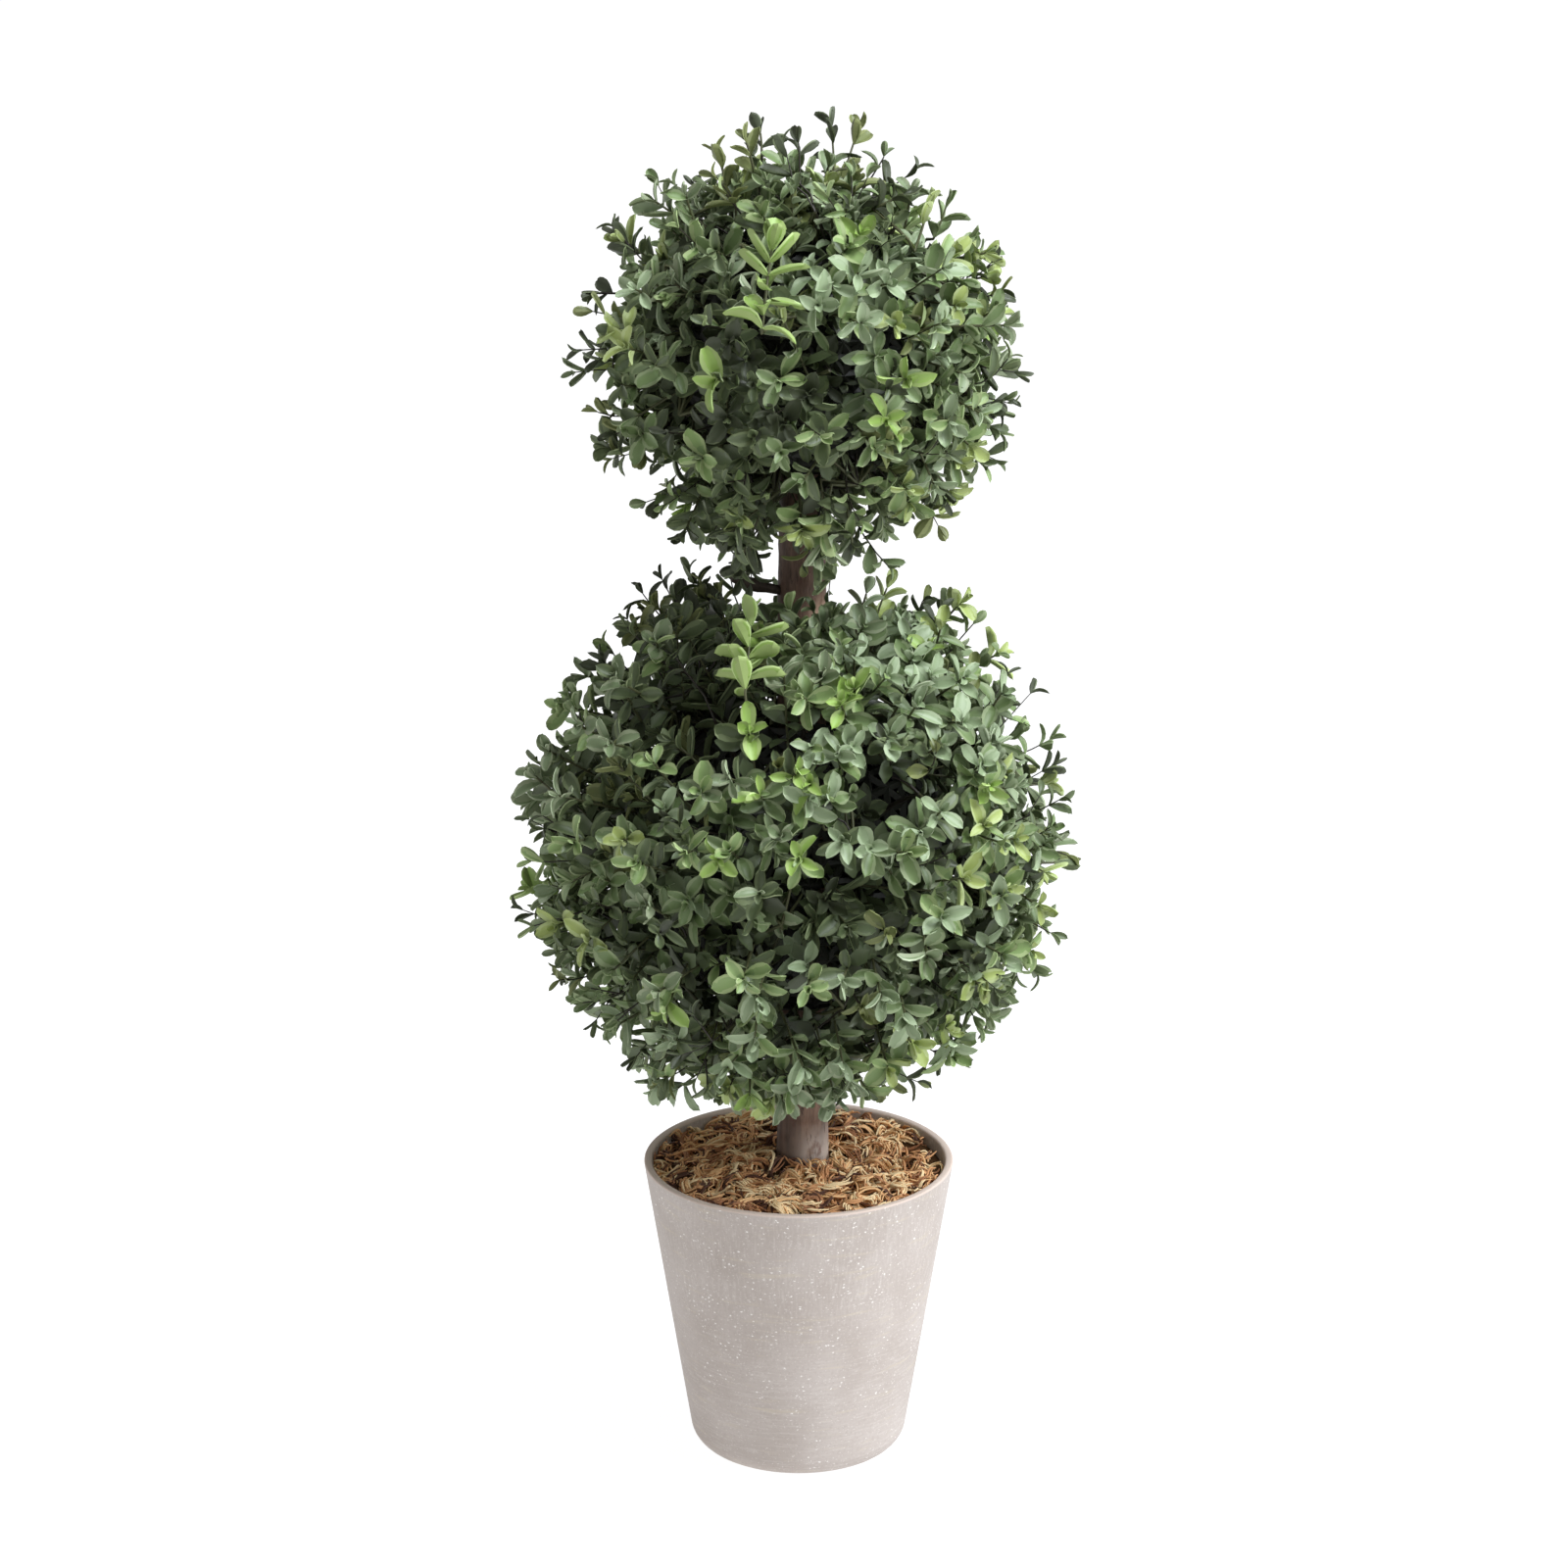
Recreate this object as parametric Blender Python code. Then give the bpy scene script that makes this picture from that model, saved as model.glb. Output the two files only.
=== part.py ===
"""An artificial double ball topiary in its pot, in metres, with +Z up.

The origin is the centre of the pot's flat underside. A straight wooden trunk is
set in a cement plug, which a layer of coir hides. It runs up through a large
clipped ball of boxwood foliage and ends inside a smaller one above it.
"""

import math
import random
from dataclasses import dataclass

import bmesh
import bpy
from mathutils import Matrix, Vector
from mathutils.geometry import intersect_point_line

# Pot: a moulded, tapered cup with a rounded foot and a thin lip
POT_HEIGHT = 0.1526
RIM_RADIUS = 0.0775
FOOT_RADIUS = 0.0526  # where the straight side would meet the ground
FOOT_ROUND = 0.0123
FOOT_STEPS = 4
WALL = 0.0040  # side and floor
LIP_ROUND = 0.0012
POT_SIDES = 40
DRAFT = math.atan((RIM_RADIUS - FOOT_RADIUS) / POT_HEIGHT)

CLEARANCE = 0.0003  # between pieces that touch
CREASE = math.radians(45.0)  # edges sharper than this stay sharp in the shading

# Filling
PLUG_TOP = 0.1200
COIR_EDGE = 0.1462  # the coir's height where it meets the pot's wall
COIR_CROWN = 0.0030  # how much higher it is heaped about the trunk
COIR_LUMP = 0.0012
COIR_RINGS = 4

# Trunk: centre line and radius at a few heights, from foot to tip
TRUNK_FOOT = 0.0250
TRUNK_TIP = 0.5700
TRUNK_OFFSET = (0.0006, 0.0028)  # sideways from the origin, at foot and tip
TRUNK_SWAY = 0.0009
TRUNK_RADII = ((0.0, 0.0139), (0.22, 0.0133), (0.29, 0.0124), (0.62, 0.0121), (1.0, 0.0113))
TRUNK_SIDES = 14
TRUNK_RINGS = 19
TRUNK_KNOT = 0.0005  # depth of the bark's lumps

# Side shoot at the neck between the balls
SHOOT_HEIGHT = 0.4470
SHOOT_AXIS = (-0.94, -0.30, 0.16)
SHOOT_REACH = 0.0360  # from the trunk's middle line
SHOOT_RISE = 0.0045
SHOOT_RADII = (0.0031, 0.0019)
SHOOT_RINGS = 5
SHOOT_SIDES = 8
SHOOT_ROOM = 0.0060  # the least room between the side shoot's line and a leaf

# A shoot and its leaves
TWIG_RADII = (0.0020, 0.0015)
TWIG_SIDES = 4
TWIG_ROOT = 0.0060  # how deep a shoot is sunk into the core
LEAF_LENGTH = 0.0330
LEAF_WIDTH = 0.0180
LEAF_THICKNESS = 0.0014
LEAF_CUP = 0.12  # how far the margins rise, in leaf widths
LEAF_DROOP = 0.12  # how far the tip falls, in leaf lengths
LEAF_ROOT = 0.0004  # how far off the twig's middle line a leaf starts
# each pair of leaves: its distance back from the shoot's tip, its angle to the shoot, its size
LEAF_PAIRS = ((0.0020, 42.0, 0.90), (0.0070, 64.0, 1.0))
GOLDEN_ANGLE = math.pi * (3.0 - math.sqrt(5.0))
DIRECTION_JITTER = 0.08
LEAN = math.radians(14.0)
REACH = (0.91, 1.01)  # a shoot's reach, as a share of the profile
STRAY_REACH = 1.04
STRAY_SHARE = 0.15
TRUNK_MARGIN = 0.0022  # the least room between the trunk and a leaf's corner


@dataclass(frozen=True)
class Ball:
    """A clipped ball of foliage."""

    centre: tuple
    radius: float
    core: float  # radius of the solid middle
    shoots: int
    profile: tuple  # the foliage's reach, in radii, at angles in degrees from straight up
    limits: tuple  # lowest and highest point that a leaf may reach
    seed: int


LOWER = Ball(
    centre=(-0.0012, 0.0, 0.3127),
    radius=0.1360,
    core=0.0960,
    shoots=80,
    profile=((0.0, 1.04), (34.0, 1.12), (60.0, 1.03), (120.0, 1.0), (150.0, 1.0), (180.0, 0.99)),
    limits=(0.1660, 0.4560),
    seed=21,
)
UPPER = Ball(
    centre=(0.0020, 0.0, 0.5690),
    radius=0.1080,
    core=0.0750,
    shoots=54,
    profile=((0.0, 1.03), (60.0, 1.0), (120.0, 1.0), (152.0, 1.08), (180.0, 1.04)),
    limits=(0.4570, 0.6840),
    seed=8,
)

COLOURS = {
    "pot": ((0.56, 0.50, 0.47), 0.75),
    "cement": ((0.36, 0.35, 0.33), 0.90),
    "coir": ((0.28, 0.16, 0.07), 0.95),
    "bark": ((0.16, 0.10, 0.08), 0.80),
    "foliage": ((0.09, 0.16, 0.07), 0.55),
}


def clear_scene():
    for old in list(bpy.data.objects):
        bpy.data.objects.remove(old)


def material(name):
    made = bpy.data.materials.get(name)
    if made is None:
        colour, roughness = COLOURS[name]
        made = bpy.data.materials.new(name)
        made.use_nodes = True
        shader = made.node_tree.nodes["Principled BSDF"]
        shader.inputs["Base Color"].default_value = (*colour, 1.0)
        shader.inputs["Roughness"].default_value = roughness
        shader.inputs["Metallic"].default_value = 0.0
    return made


def add_object(name, mesh, finish):
    made = bpy.data.objects.new(name, mesh)
    bpy.context.scene.collection.objects.link(made)
    mesh.materials.append(material(finish))
    return made


def mesh_from(shape, name):
    mesh = bpy.data.meshes.new(name)
    shape.to_mesh(mesh)
    shape.free()
    return mesh


def smooth(mesh):
    mesh.shade_smooth()
    mesh.set_sharp_from_angle(angle=CREASE)


# ---------------------------------------------------------------- turned pieces


def side_radius(height, inset=0.0):
    """Radius of the pot's side at a height, pulled in square to the side by inset."""
    return FOOT_RADIUS + height * math.tan(DRAFT) - inset / math.cos(DRAFT)


def foot_curve(inset):
    """The rounded foot in section, from the flat underside to the straight side."""
    middle = FOOT_RADIUS - FOOT_ROUND * (1.0 - math.sin(DRAFT)) / math.cos(DRAFT)
    radius = FOOT_ROUND - inset
    points = []
    for step in range(FOOT_STEPS + 1):
        angle = -math.pi / 2 + (math.pi / 2 - DRAFT) * step / FOOT_STEPS
        points.append((middle + radius * math.cos(angle), FOOT_ROUND + radius * math.sin(angle)))
    return points


def turned(name, profile):
    """A closed solid of revolution from a profile of (radius, height) that starts and ends on the axis."""
    shape = bmesh.new()
    corners = [shape.verts.new((radius, 0.0, height)) for radius, height in profile]
    edges = [shape.edges.new(pair) for pair in zip(corners, corners[1:])]
    bmesh.ops.spin(
        shape,
        geom=corners + edges,
        cent=(0.0, 0.0, 0.0),
        axis=(0.0, 0.0, 1.0),
        angle=2.0 * math.pi,
        steps=POT_SIDES,
        use_merge=True,
    )
    bmesh.ops.remove_doubles(shape, verts=shape.verts[:], dist=1e-6)
    bmesh.ops.recalc_face_normals(shape, faces=shape.faces[:])
    return mesh_from(shape, name)


def build_pot():
    lip = POT_HEIGHT - LIP_ROUND
    inner_lip = side_radius(POT_HEIGHT, WALL) + LIP_ROUND
    profile = [(0.0, 0.0), *foot_curve(0.0)]
    profile += [(side_radius(lip), lip), (RIM_RADIUS - LIP_ROUND, POT_HEIGHT)]
    profile += [(inner_lip, POT_HEIGHT), (side_radius(lip, WALL), lip)]
    profile += [*reversed(foot_curve(WALL)), (0.0, WALL)]
    mesh = turned("pot", profile)
    smooth(mesh)
    return add_object("pot", mesh, "pot")


def build_plug():
    """The cement that holds the trunk's foot and keeps the pot standing."""
    inset = WALL + CLEARANCE
    top_radius = side_radius(PLUG_TOP, inset)
    profile = [(0.0, inset), *foot_curve(inset), (top_radius, PLUG_TOP), (0.0, PLUG_TOP)]
    mesh = turned("cement_plug", profile)
    return add_object("cement_plug", mesh, "cement")


def coir_height(share, turn):
    """Height of the coir at a share of the way from the axis to the wall, on a bearing."""
    heap = COIR_CROWN * (1.0 - share * share)
    lumps = math.sin(3.0 * turn + 7.0 * share) + math.sin(5.0 * turn - 11.0 * share + 1.3)
    return COIR_EDGE + heap + 0.5 * COIR_LUMP * lumps * math.sin(math.pi * share)


def build_coir():
    """The layer of coir fibre, heaped a little about the trunk."""
    bottom = PLUG_TOP + CLEARANCE
    inset = WALL + CLEARANCE
    turns = [2.0 * math.pi * side / POT_SIDES for side in range(POT_SIDES)]
    shape = bmesh.new()
    rings = []
    for ring in range(1, COIR_RINGS + 1):
        share = ring / COIR_RINGS
        heights = [coir_height(share, turn) for turn in turns]
        rings.append([(side_radius(height, inset) * share, height) for height in heights])
    rings.append([(side_radius(bottom, inset), bottom)] * POT_SIDES)
    for ring in rings:
        for side, (radius, height) in enumerate(ring):
            place = (radius * math.cos(turns[side]), radius * math.sin(turns[side]), height)
            ring[side] = shape.verts.new(place)
    bridge(shape, rings)
    cap(shape, rings[0], coir_height(0.0, 0.0))
    cap(shape, rings[-1], bottom)
    bmesh.ops.recalc_face_normals(shape, faces=shape.faces[:])
    mesh = mesh_from(shape, "coir_fill")
    smooth(mesh)
    return add_object("coir_fill", mesh, "coir")


def bridge(shape, rings):
    """Skins a list of rings that have equal numbers of corners."""
    for lower, upper in zip(rings, rings[1:]):
        count = len(lower)
        for i in range(count):
            j = (i + 1) % count
            shape.faces.new((lower[i], lower[j], upper[j], upper[i]))


def cap(shape, ring, height):
    """Closes a ring with a fan to the middle of the ring, at a height."""
    centre = sum((corner.co for corner in ring), Vector()) / len(ring)
    middle = shape.verts.new((centre.x, centre.y, height))
    for i, corner in enumerate(ring):
        shape.faces.new((corner, ring[(i + 1) % len(ring)], middle))


# ---------------------------------------------------------------- trunk and side shoot


def trunk_centre(height):
    """The trunk's centre line, which leans and sways a little."""
    share = (height - TRUNK_FOOT) / (TRUNK_TIP - TRUNK_FOOT)
    low, high = TRUNK_OFFSET
    sway = TRUNK_SWAY * math.sin(2.0 * math.pi * share)
    return Vector((low + (high - low) * share + sway, 0.6 * sway, height))


def trunk_radius(height):
    share = min(1.0, max(0.0, (height - TRUNK_FOOT) / (TRUNK_TIP - TRUNK_FOOT)))
    for (low, first), (high, second) in zip(TRUNK_RADII, TRUNK_RADII[1:]):
        if share <= high:
            return first + (second - first) * (share - low) / (high - low)
    return TRUNK_RADII[-1][1]


def trunk_ring(height, grow):
    """One section of the trunk, a lumpy circle, grown outwards by grow."""
    centre = trunk_centre(height)
    points = []
    for side in range(TRUNK_SIDES):
        turn = 2.0 * math.pi * side / TRUNK_SIDES
        lump = math.sin(3.0 * turn + 40.0 * height) + 0.6 * math.sin(5.0 * turn - 65.0 * height)
        radius = trunk_radius(height) + TRUNK_KNOT * lump + grow
        points.append(centre + Vector((radius * math.cos(turn), radius * math.sin(turn), 0.0)))
    return points


def trunk_mesh(name, grow):
    """The trunk with a flat foot and tip. With grow, it is the hollow that the trunk needs."""
    shape = bmesh.new()
    rings = []
    for step in range(TRUNK_RINGS + 1):
        height = TRUNK_FOOT + (TRUNK_TIP - TRUNK_FOOT) * step / TRUNK_RINGS
        points = trunk_ring(height, grow)
        shift = {0: -grow, TRUNK_RINGS: grow}.get(step, 0.0)
        rings.append([shape.verts.new(p + Vector((0.0, 0.0, shift))) for p in points])
    bridge(shape, rings)
    cap(shape, rings[0], TRUNK_FOOT - grow)
    cap(shape, rings[-1], TRUNK_TIP + grow)
    bmesh.ops.triangulate(shape, faces=shape.faces[:], quad_method="FIXED")
    bmesh.ops.recalc_face_normals(shape, faces=shape.faces[:])
    return mesh_from(shape, name)


def build_trunk():
    mesh = trunk_mesh("trunk", 0.0)
    smooth(mesh)
    return add_object("trunk", mesh, "bark")


def build_hollow():
    """The cutter that keeps every piece clear of the trunk."""
    made = add_object("trunk_hollow", trunk_mesh("trunk_hollow", CLEARANCE), "bark")
    made.hide_render = True
    made.display_type = "WIRE"
    return made


def build_neck_shoot(hollow):
    """A short side shoot that leaves the trunk between the balls and turns up into the upper one."""
    start = trunk_centre(SHOOT_HEIGHT)
    frame = turned_frame(Vector(SHOOT_AXIS), 0.0)
    outwards = frame @ Vector((1.0, 0.0, 0.0))
    first, last = SHOOT_RADII
    shape = bmesh.new()
    rings = []
    for step in range(SHOOT_RINGS + 1):
        share = step / SHOOT_RINGS
        radius = first + (last - first) * share
        middle = start + outwards * SHOOT_REACH * share + Vector((0.0, 0.0, SHOOT_RISE * share * share))
        ring = []
        for side in range(SHOOT_SIDES):
            turn = 2.0 * math.pi * side / SHOOT_SIDES
            around = Vector((0.0, radius * math.cos(turn), radius * math.sin(turn)))
            ring.append(shape.verts.new(middle + frame @ around))
        rings.append(ring)
    bridge(shape, rings)
    shape.faces.new(rings[0])
    shape.faces.new(rings[-1])
    bmesh.ops.recalc_face_normals(shape, faces=shape.faces[:])
    mesh = mesh_from(shape, "neck_shoot")
    made = add_object("neck_shoot", mesh, "bark")
    cut(made, hollow)
    smooth(made.data)
    return made


# ---------------------------------------------------------------- foliage


def turned_frame(axis, roll):
    """A frame whose X lies along axis, turned about it by roll."""
    along = axis.normalized()
    side = Vector((0.0, 0.0, 1.0)) if abs(along.z) < 0.9 else Vector((1.0, 0.0, 0.0))
    across = side.cross(along).normalized()
    frame = Matrix((along, across, along.cross(across))).transposed()
    return frame @ Matrix.Rotation(roll, 3, "X")


def shoots(ball):
    """The rule of a ball: shoots on a golden-angle spiral, each leaning and reaching a little at random."""
    chance = random.Random(ball.seed)
    for index in range(ball.shoots):
        height = 1.0 - 2.0 * (index + 0.5) / ball.shoots
        spread = math.sqrt(1.0 - height * height)
        turn = index * GOLDEN_ANGLE
        facing = Vector((spread * math.cos(turn), spread * math.sin(turn), height))
        jitter = Vector([chance.uniform(-1.0, 1.0) for _ in range(3)]) * DIRECTION_JITTER
        lean = Vector([chance.uniform(-1.0, 1.0) for _ in range(3)]) * math.tan(LEAN)
        roll = chance.uniform(0.0, 2.0 * math.pi)
        reach = STRAY_REACH if chance.random() < STRAY_SHARE else chance.uniform(*REACH)
        facing = (facing + jitter).normalized()
        yield facing, (facing + lean).normalized(), roll, reach


def leaf_points(size):
    """A blunt leaf along +X: its root and margins, then the middle of its upper and under side."""
    length, width = LEAF_LENGTH * size, LEAF_WIDTH * size
    rise, fall = LEAF_CUP * width, -LEAF_DROOP * length
    half = LEAF_THICKNESS / 2.0
    return [
        Vector((0.0, 0.0, 0.0)),
        Vector((0.50 * length, 0.50 * width, rise)),
        Vector((length, 0.20 * width, fall)),
        Vector((length, -0.20 * width, fall)),
        Vector((0.50 * length, -0.50 * width, rise)),
        Vector((0.56 * length, 0.0, half)),
        Vector((0.56 * length, 0.0, -half)),
    ]


def leaf_mesh(points):
    margin, upper, under = 5, 5, 6
    faces = []
    for i in range(margin):
        j = (i + 1) % margin
        faces += [(j, i, upper), (i, j, under)]
    mesh = bpy.data.meshes.new("leaf")
    mesh.from_pydata(points, [], faces)
    return mesh


def twig_mesh(start, frame, length):
    """A square twig from start along the frame's X, with a flat side to each leaf."""
    shape = bmesh.new()
    rings = []
    for along, radius in ((0.0, TWIG_RADII[0]), (length, TWIG_RADII[1])):
        ring = []
        for side in range(TWIG_SIDES):
            turn = 2.0 * math.pi * (side + 0.5) / TWIG_SIDES
            around = Vector((along, radius * math.cos(turn), radius * math.sin(turn)))
            ring.append(shape.verts.new(start + frame @ around))
        rings.append(ring)
    bridge(shape, rings)
    shape.faces.new(rings[0])
    shape.faces.new(rings[1])
    bmesh.ops.recalc_face_normals(shape, faces=shape.faces[:])
    return mesh_from(shape, "twig")


def leaf_frames(frame, base, length):
    """Pairs of opposite leaves, each pair a quarter turn on from the last: (root, frame, size)."""
    for number, (back, angle, size) in enumerate(LEAF_PAIRS):
        root = base + frame @ Vector((length - back, 0.0, 0.0))
        for half_turn in (0.0, math.pi):
            turned = frame @ Matrix.Rotation(half_turn + number * math.pi / 2, 3, "X")
            start = root - turned @ Vector((0.0, 0.0, LEAF_ROOT))
            yield start, turned @ Matrix.Rotation(math.radians(angle), 3, "Y"), size


def clear_of_limbs(points, limits):
    """True if the points keep to the ball's own space and off the trunk and the side shoot."""
    base = trunk_centre(SHOOT_HEIGHT)
    end = base + Vector(SHOOT_AXIS).normalized() * SHOOT_REACH + Vector((0.0, 0.0, SHOOT_RISE))
    for point in points:
        if not limits[0] < point.z < limits[1]:
            return False
        off = point - trunk_centre(point.z)
        if point.z < TRUNK_TIP + TRUNK_MARGIN and off.length < trunk_radius(point.z) + TRUNK_MARGIN:
            return False
        nearest, share = intersect_point_line(point, base, end)
        nearest = base + (end - base) * min(1.0, max(0.0, share))
        if (point - nearest).length < SHOOT_ROOM:
            return False
    return True


def reach_share(ball, facing):
    """How far the ball's foliage reaches in a direction, in radii."""
    angle = math.degrees(math.acos(facing.z))
    for (low, first), (high, second) in zip(ball.profile, ball.profile[1:]):
        if angle <= high:
            return first + (second - first) * (angle - low) / (high - low)
    return ball.profile[-1][1]


def leafy_bits(ball):
    """Every twig and leaf of a ball, as closed meshes that overlap where they grow from each other."""
    bits = []
    back, angle, size = LEAF_PAIRS[0]
    tip_rise = LEAF_LENGTH * size * math.cos(math.radians(angle)) - back
    for facing, axis, roll, reach in shoots(ball):
        start = Vector(ball.centre) + facing * (ball.core - TWIG_ROOT)
        outer = ball.radius * reach_share(ball, facing) * reach
        length = outer - tip_rise - (ball.core - TWIG_ROOT)
        frame = turned_frame(axis, roll)
        ends = [start + facing * 2.0 * TWIG_ROOT, start + frame @ Vector((length, 0.0, 0.0))]
        if not clear_of_limbs(ends, ball.limits):
            continue
        leaves = []
        for root, leaf_frame, leaf_size in leaf_frames(frame, start, length):
            points = [root + leaf_frame @ corner for corner in leaf_points(leaf_size)]
            if clear_of_limbs(points, ball.limits):
                leaves.append(leaf_mesh(points))
        if leaves:
            bits += [twig_mesh(start, frame, length), *leaves]
    return bits


def apply_modifiers(made):
    graph = bpy.context.evaluated_depsgraph_get()
    mesh = bpy.data.meshes.new_from_object(made.evaluated_get(graph))
    made.modifiers.clear()
    made.data = mesh


def cut(made, hollow):
    """Cuts the trunk's hollow out of a piece."""
    cutting = made.modifiers.new("trunk_hole", "BOOLEAN")
    cutting.operation = "DIFFERENCE"
    cutting.object = hollow
    apply_modifiers(made)


def keep_main_shell(mesh):
    """Fills sealed hollows and drops loose scraps: only the shell with the most corners stays."""
    shape = bmesh.new()
    shape.from_mesh(mesh)
    left, shells = set(shape.verts), []
    while left:
        queue = [left.pop()]
        shell = list(queue)
        while queue:
            for edge in queue.pop().link_edges:
                for corner in edge.verts:
                    if corner in left:
                        left.remove(corner)
                        queue.append(corner)
                        shell.append(corner)
        shells.append(shell)
    largest = max(shells, key=len)
    for shell in shells:
        if shell is not largest:
            bmesh.ops.delete(shape, geom=shell, context="VERTS")
    shape.to_mesh(mesh)
    shape.free()


def build_ball(name, ball, hollow):
    """A clipped ball: a core cut clear of the trunk, with the leafy shoots that stand out of it fused on."""
    bpy.ops.mesh.primitive_ico_sphere_add(subdivisions=2, radius=ball.core, location=ball.centre)
    made = bpy.context.object
    made.name = name
    made.data.materials.append(material("foliage"))
    cut(made, hollow)
    sprigs = bpy.data.collections.new(name + "_sprigs")
    bpy.context.scene.collection.children.link(sprigs)
    for mesh in leafy_bits(ball):
        sprigs.objects.link(bpy.data.objects.new(mesh.name, mesh))
    fusing = made.modifiers.new("fused_sprigs", "BOOLEAN")
    fusing.operation = "UNION"
    fusing.operand_type = "COLLECTION"
    fusing.collection = sprigs
    fusing.solver = "MANIFOLD"
    apply_modifiers(made)
    for sprig in list(sprigs.objects):
        bpy.data.objects.remove(sprig)
    bpy.data.collections.remove(sprigs)
    keep_main_shell(made.data)
    return made


def main():
    clear_scene()
    hollow = build_hollow()
    build_pot()
    cut(build_plug(), hollow)
    cut(build_coir(), hollow)
    build_trunk()
    build_neck_shoot(hollow)
    build_ball("lower_ball", LOWER, hollow)
    build_ball("upper_ball", UPPER, hollow)


main()
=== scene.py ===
"""Looks of an artificial double ball topiary: moulded leaves, bark, coir and a speckled pot.

Everything is in metres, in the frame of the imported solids, with +Z up. The foliage grows by
the same rule as the solids of the two balls and is carried on to finer twigs.
"""

import math
import random
from dataclasses import dataclass

import bmesh
import bpy
import numpy as np
from mathutils import Matrix, Vector
from mathutils.noise import noise


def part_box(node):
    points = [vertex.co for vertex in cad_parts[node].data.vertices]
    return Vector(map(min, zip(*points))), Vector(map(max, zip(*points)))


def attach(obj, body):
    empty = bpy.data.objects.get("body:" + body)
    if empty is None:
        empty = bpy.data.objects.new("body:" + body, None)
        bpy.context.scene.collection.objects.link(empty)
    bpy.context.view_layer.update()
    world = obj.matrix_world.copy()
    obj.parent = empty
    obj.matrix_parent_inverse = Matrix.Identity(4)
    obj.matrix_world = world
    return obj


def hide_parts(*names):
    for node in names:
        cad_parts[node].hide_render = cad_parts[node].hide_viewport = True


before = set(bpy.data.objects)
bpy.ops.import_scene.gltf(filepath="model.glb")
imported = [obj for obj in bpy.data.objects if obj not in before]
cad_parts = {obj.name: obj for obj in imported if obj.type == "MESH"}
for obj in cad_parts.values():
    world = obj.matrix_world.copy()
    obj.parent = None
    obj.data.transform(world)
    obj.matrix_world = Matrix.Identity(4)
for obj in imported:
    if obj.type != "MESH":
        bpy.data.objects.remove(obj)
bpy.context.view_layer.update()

MM = 0.001
GOLDEN_ANGLE = math.pi * (3.0 - math.sqrt(5.0))

# Pot, as in the solids
POT_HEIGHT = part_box("pot")[1].z
RIM_RADIUS = 77.5 * MM
FOOT_RADIUS = 52.6 * MM
FOOT_ROUND = 12.3 * MM
WALL = 4.0 * MM
LIP_ROUND = 1.2 * MM
DRAFT = math.atan((RIM_RADIUS - FOOT_RADIUS) / POT_HEIGHT)
POT_SIDES = 160

# Camera
CAMERA_PLACE = Vector((-7.3 * MM, -2.6, 1.198))
CAMERA_PITCH = math.radians(18.08)
FRAME_PIXELS = 1600
MIDDLE = (FRAME_PIXELS / 2, FRAME_PIXELS / 2)
FOCAL_PIXELS = 5696
SENSOR_WIDTH = 36.0

# Light and floor
WHITE = (1.0, 1.0, 1.0, 1.0)
KEY_COLOUR = (0.95, 1.0, 1.05)
# each softbox: azimuth and elevation in degrees, distance, height of what it lights, size, energy
SOFTBOXES = {
    "key": (67.0, 35.0, 3.0, 0.35, 1.3, 71.0),
    "high": (62.0, 66.0, 2.8, 0.40, 1.2, 79.0),
}
FLOOR_SIZE = 400.0
FLOOR_GLOW = 0.92
SKY_STRENGTH = 0.42

# Coir: its bed as in the solids, and the loose strands on it
COIR_EDGE = 146.2 * MM
COIR_RADIUS = 73.0 * MM
COIR_CROWN = 4.6 * MM
COIR_LUMPS = 2.6 * MM
COIR_LUMP_WIDTH = 9.0 * MM
COIR_HEAP = 2.6 * MM  # how much higher the strands lie at the front
COIR_COLLAR = 4.0 * MM  # how far the strands climb the trunk's foot
COIR_COLLAR_WIDTH = 9.0 * MM
COIR_PATCH_WIDTH = 13.0 * MM
COIR_CEILING = 153.6 * MM  # the strands' height stays under this, and a little more near the trunk
COIR_COLOURS = {
    "straw": "#FADEAF",
    "tan": "#EFC08A",
    "ginger": "#D29A6A",
    "brown": "#A67350",
    "umber": "#5A3A2C",
}
BUNCH_COUNT = 560
BUNCH_REACH = 72.4 * MM
BUNCH_TILT = 0.65
BUNCH_STRANDS = (2, 3, 4, 5, 6)
STRAND_RADIUS = (0.40 * MM, 0.78 * MM)
STRAND_CURL = (2.4, 10.0)  # the radius of its loop and its length, in mm
STRAND_LENGTH = (11.0, 30.0)
STRAND_SWEEP = 4.2  # no strand turns further than this about its loop
STRAND_LIFT = (0.2, 1.7)
STRAND_STEPS = 10

# Trunk and the stub of a side shoot at the neck, as in the solids
TRUNK_FOOT = 25.0 * MM
TRUNK_TIP = 570.0 * MM
TRUNK_OFFSET = (0.6 * MM, 2.8 * MM)
TRUNK_SWAY = 0.9 * MM
TRUNK_RADII = ((0.0, 13.9), (0.22, 13.3), (0.29, 12.4), (0.62, 12.1), (1.0, 11.3))
TRUNK_SIDES = 28
TRUNK_RINGS = 57
SHOOT_HEIGHT = 447.0 * MM
SHOOT_AXIS = (-0.94, -0.30, 0.16)
SHOOT_REACH = 36.0 * MM
SHOOT_RISE = 4.5 * MM
SHOOT_RADII = (2.4 * MM, 2.4 * MM, 2.6 * MM, 3.3 * MM, 3.4 * MM, 2.7 * MM, 1.8 * MM)  # with its knot


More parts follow.
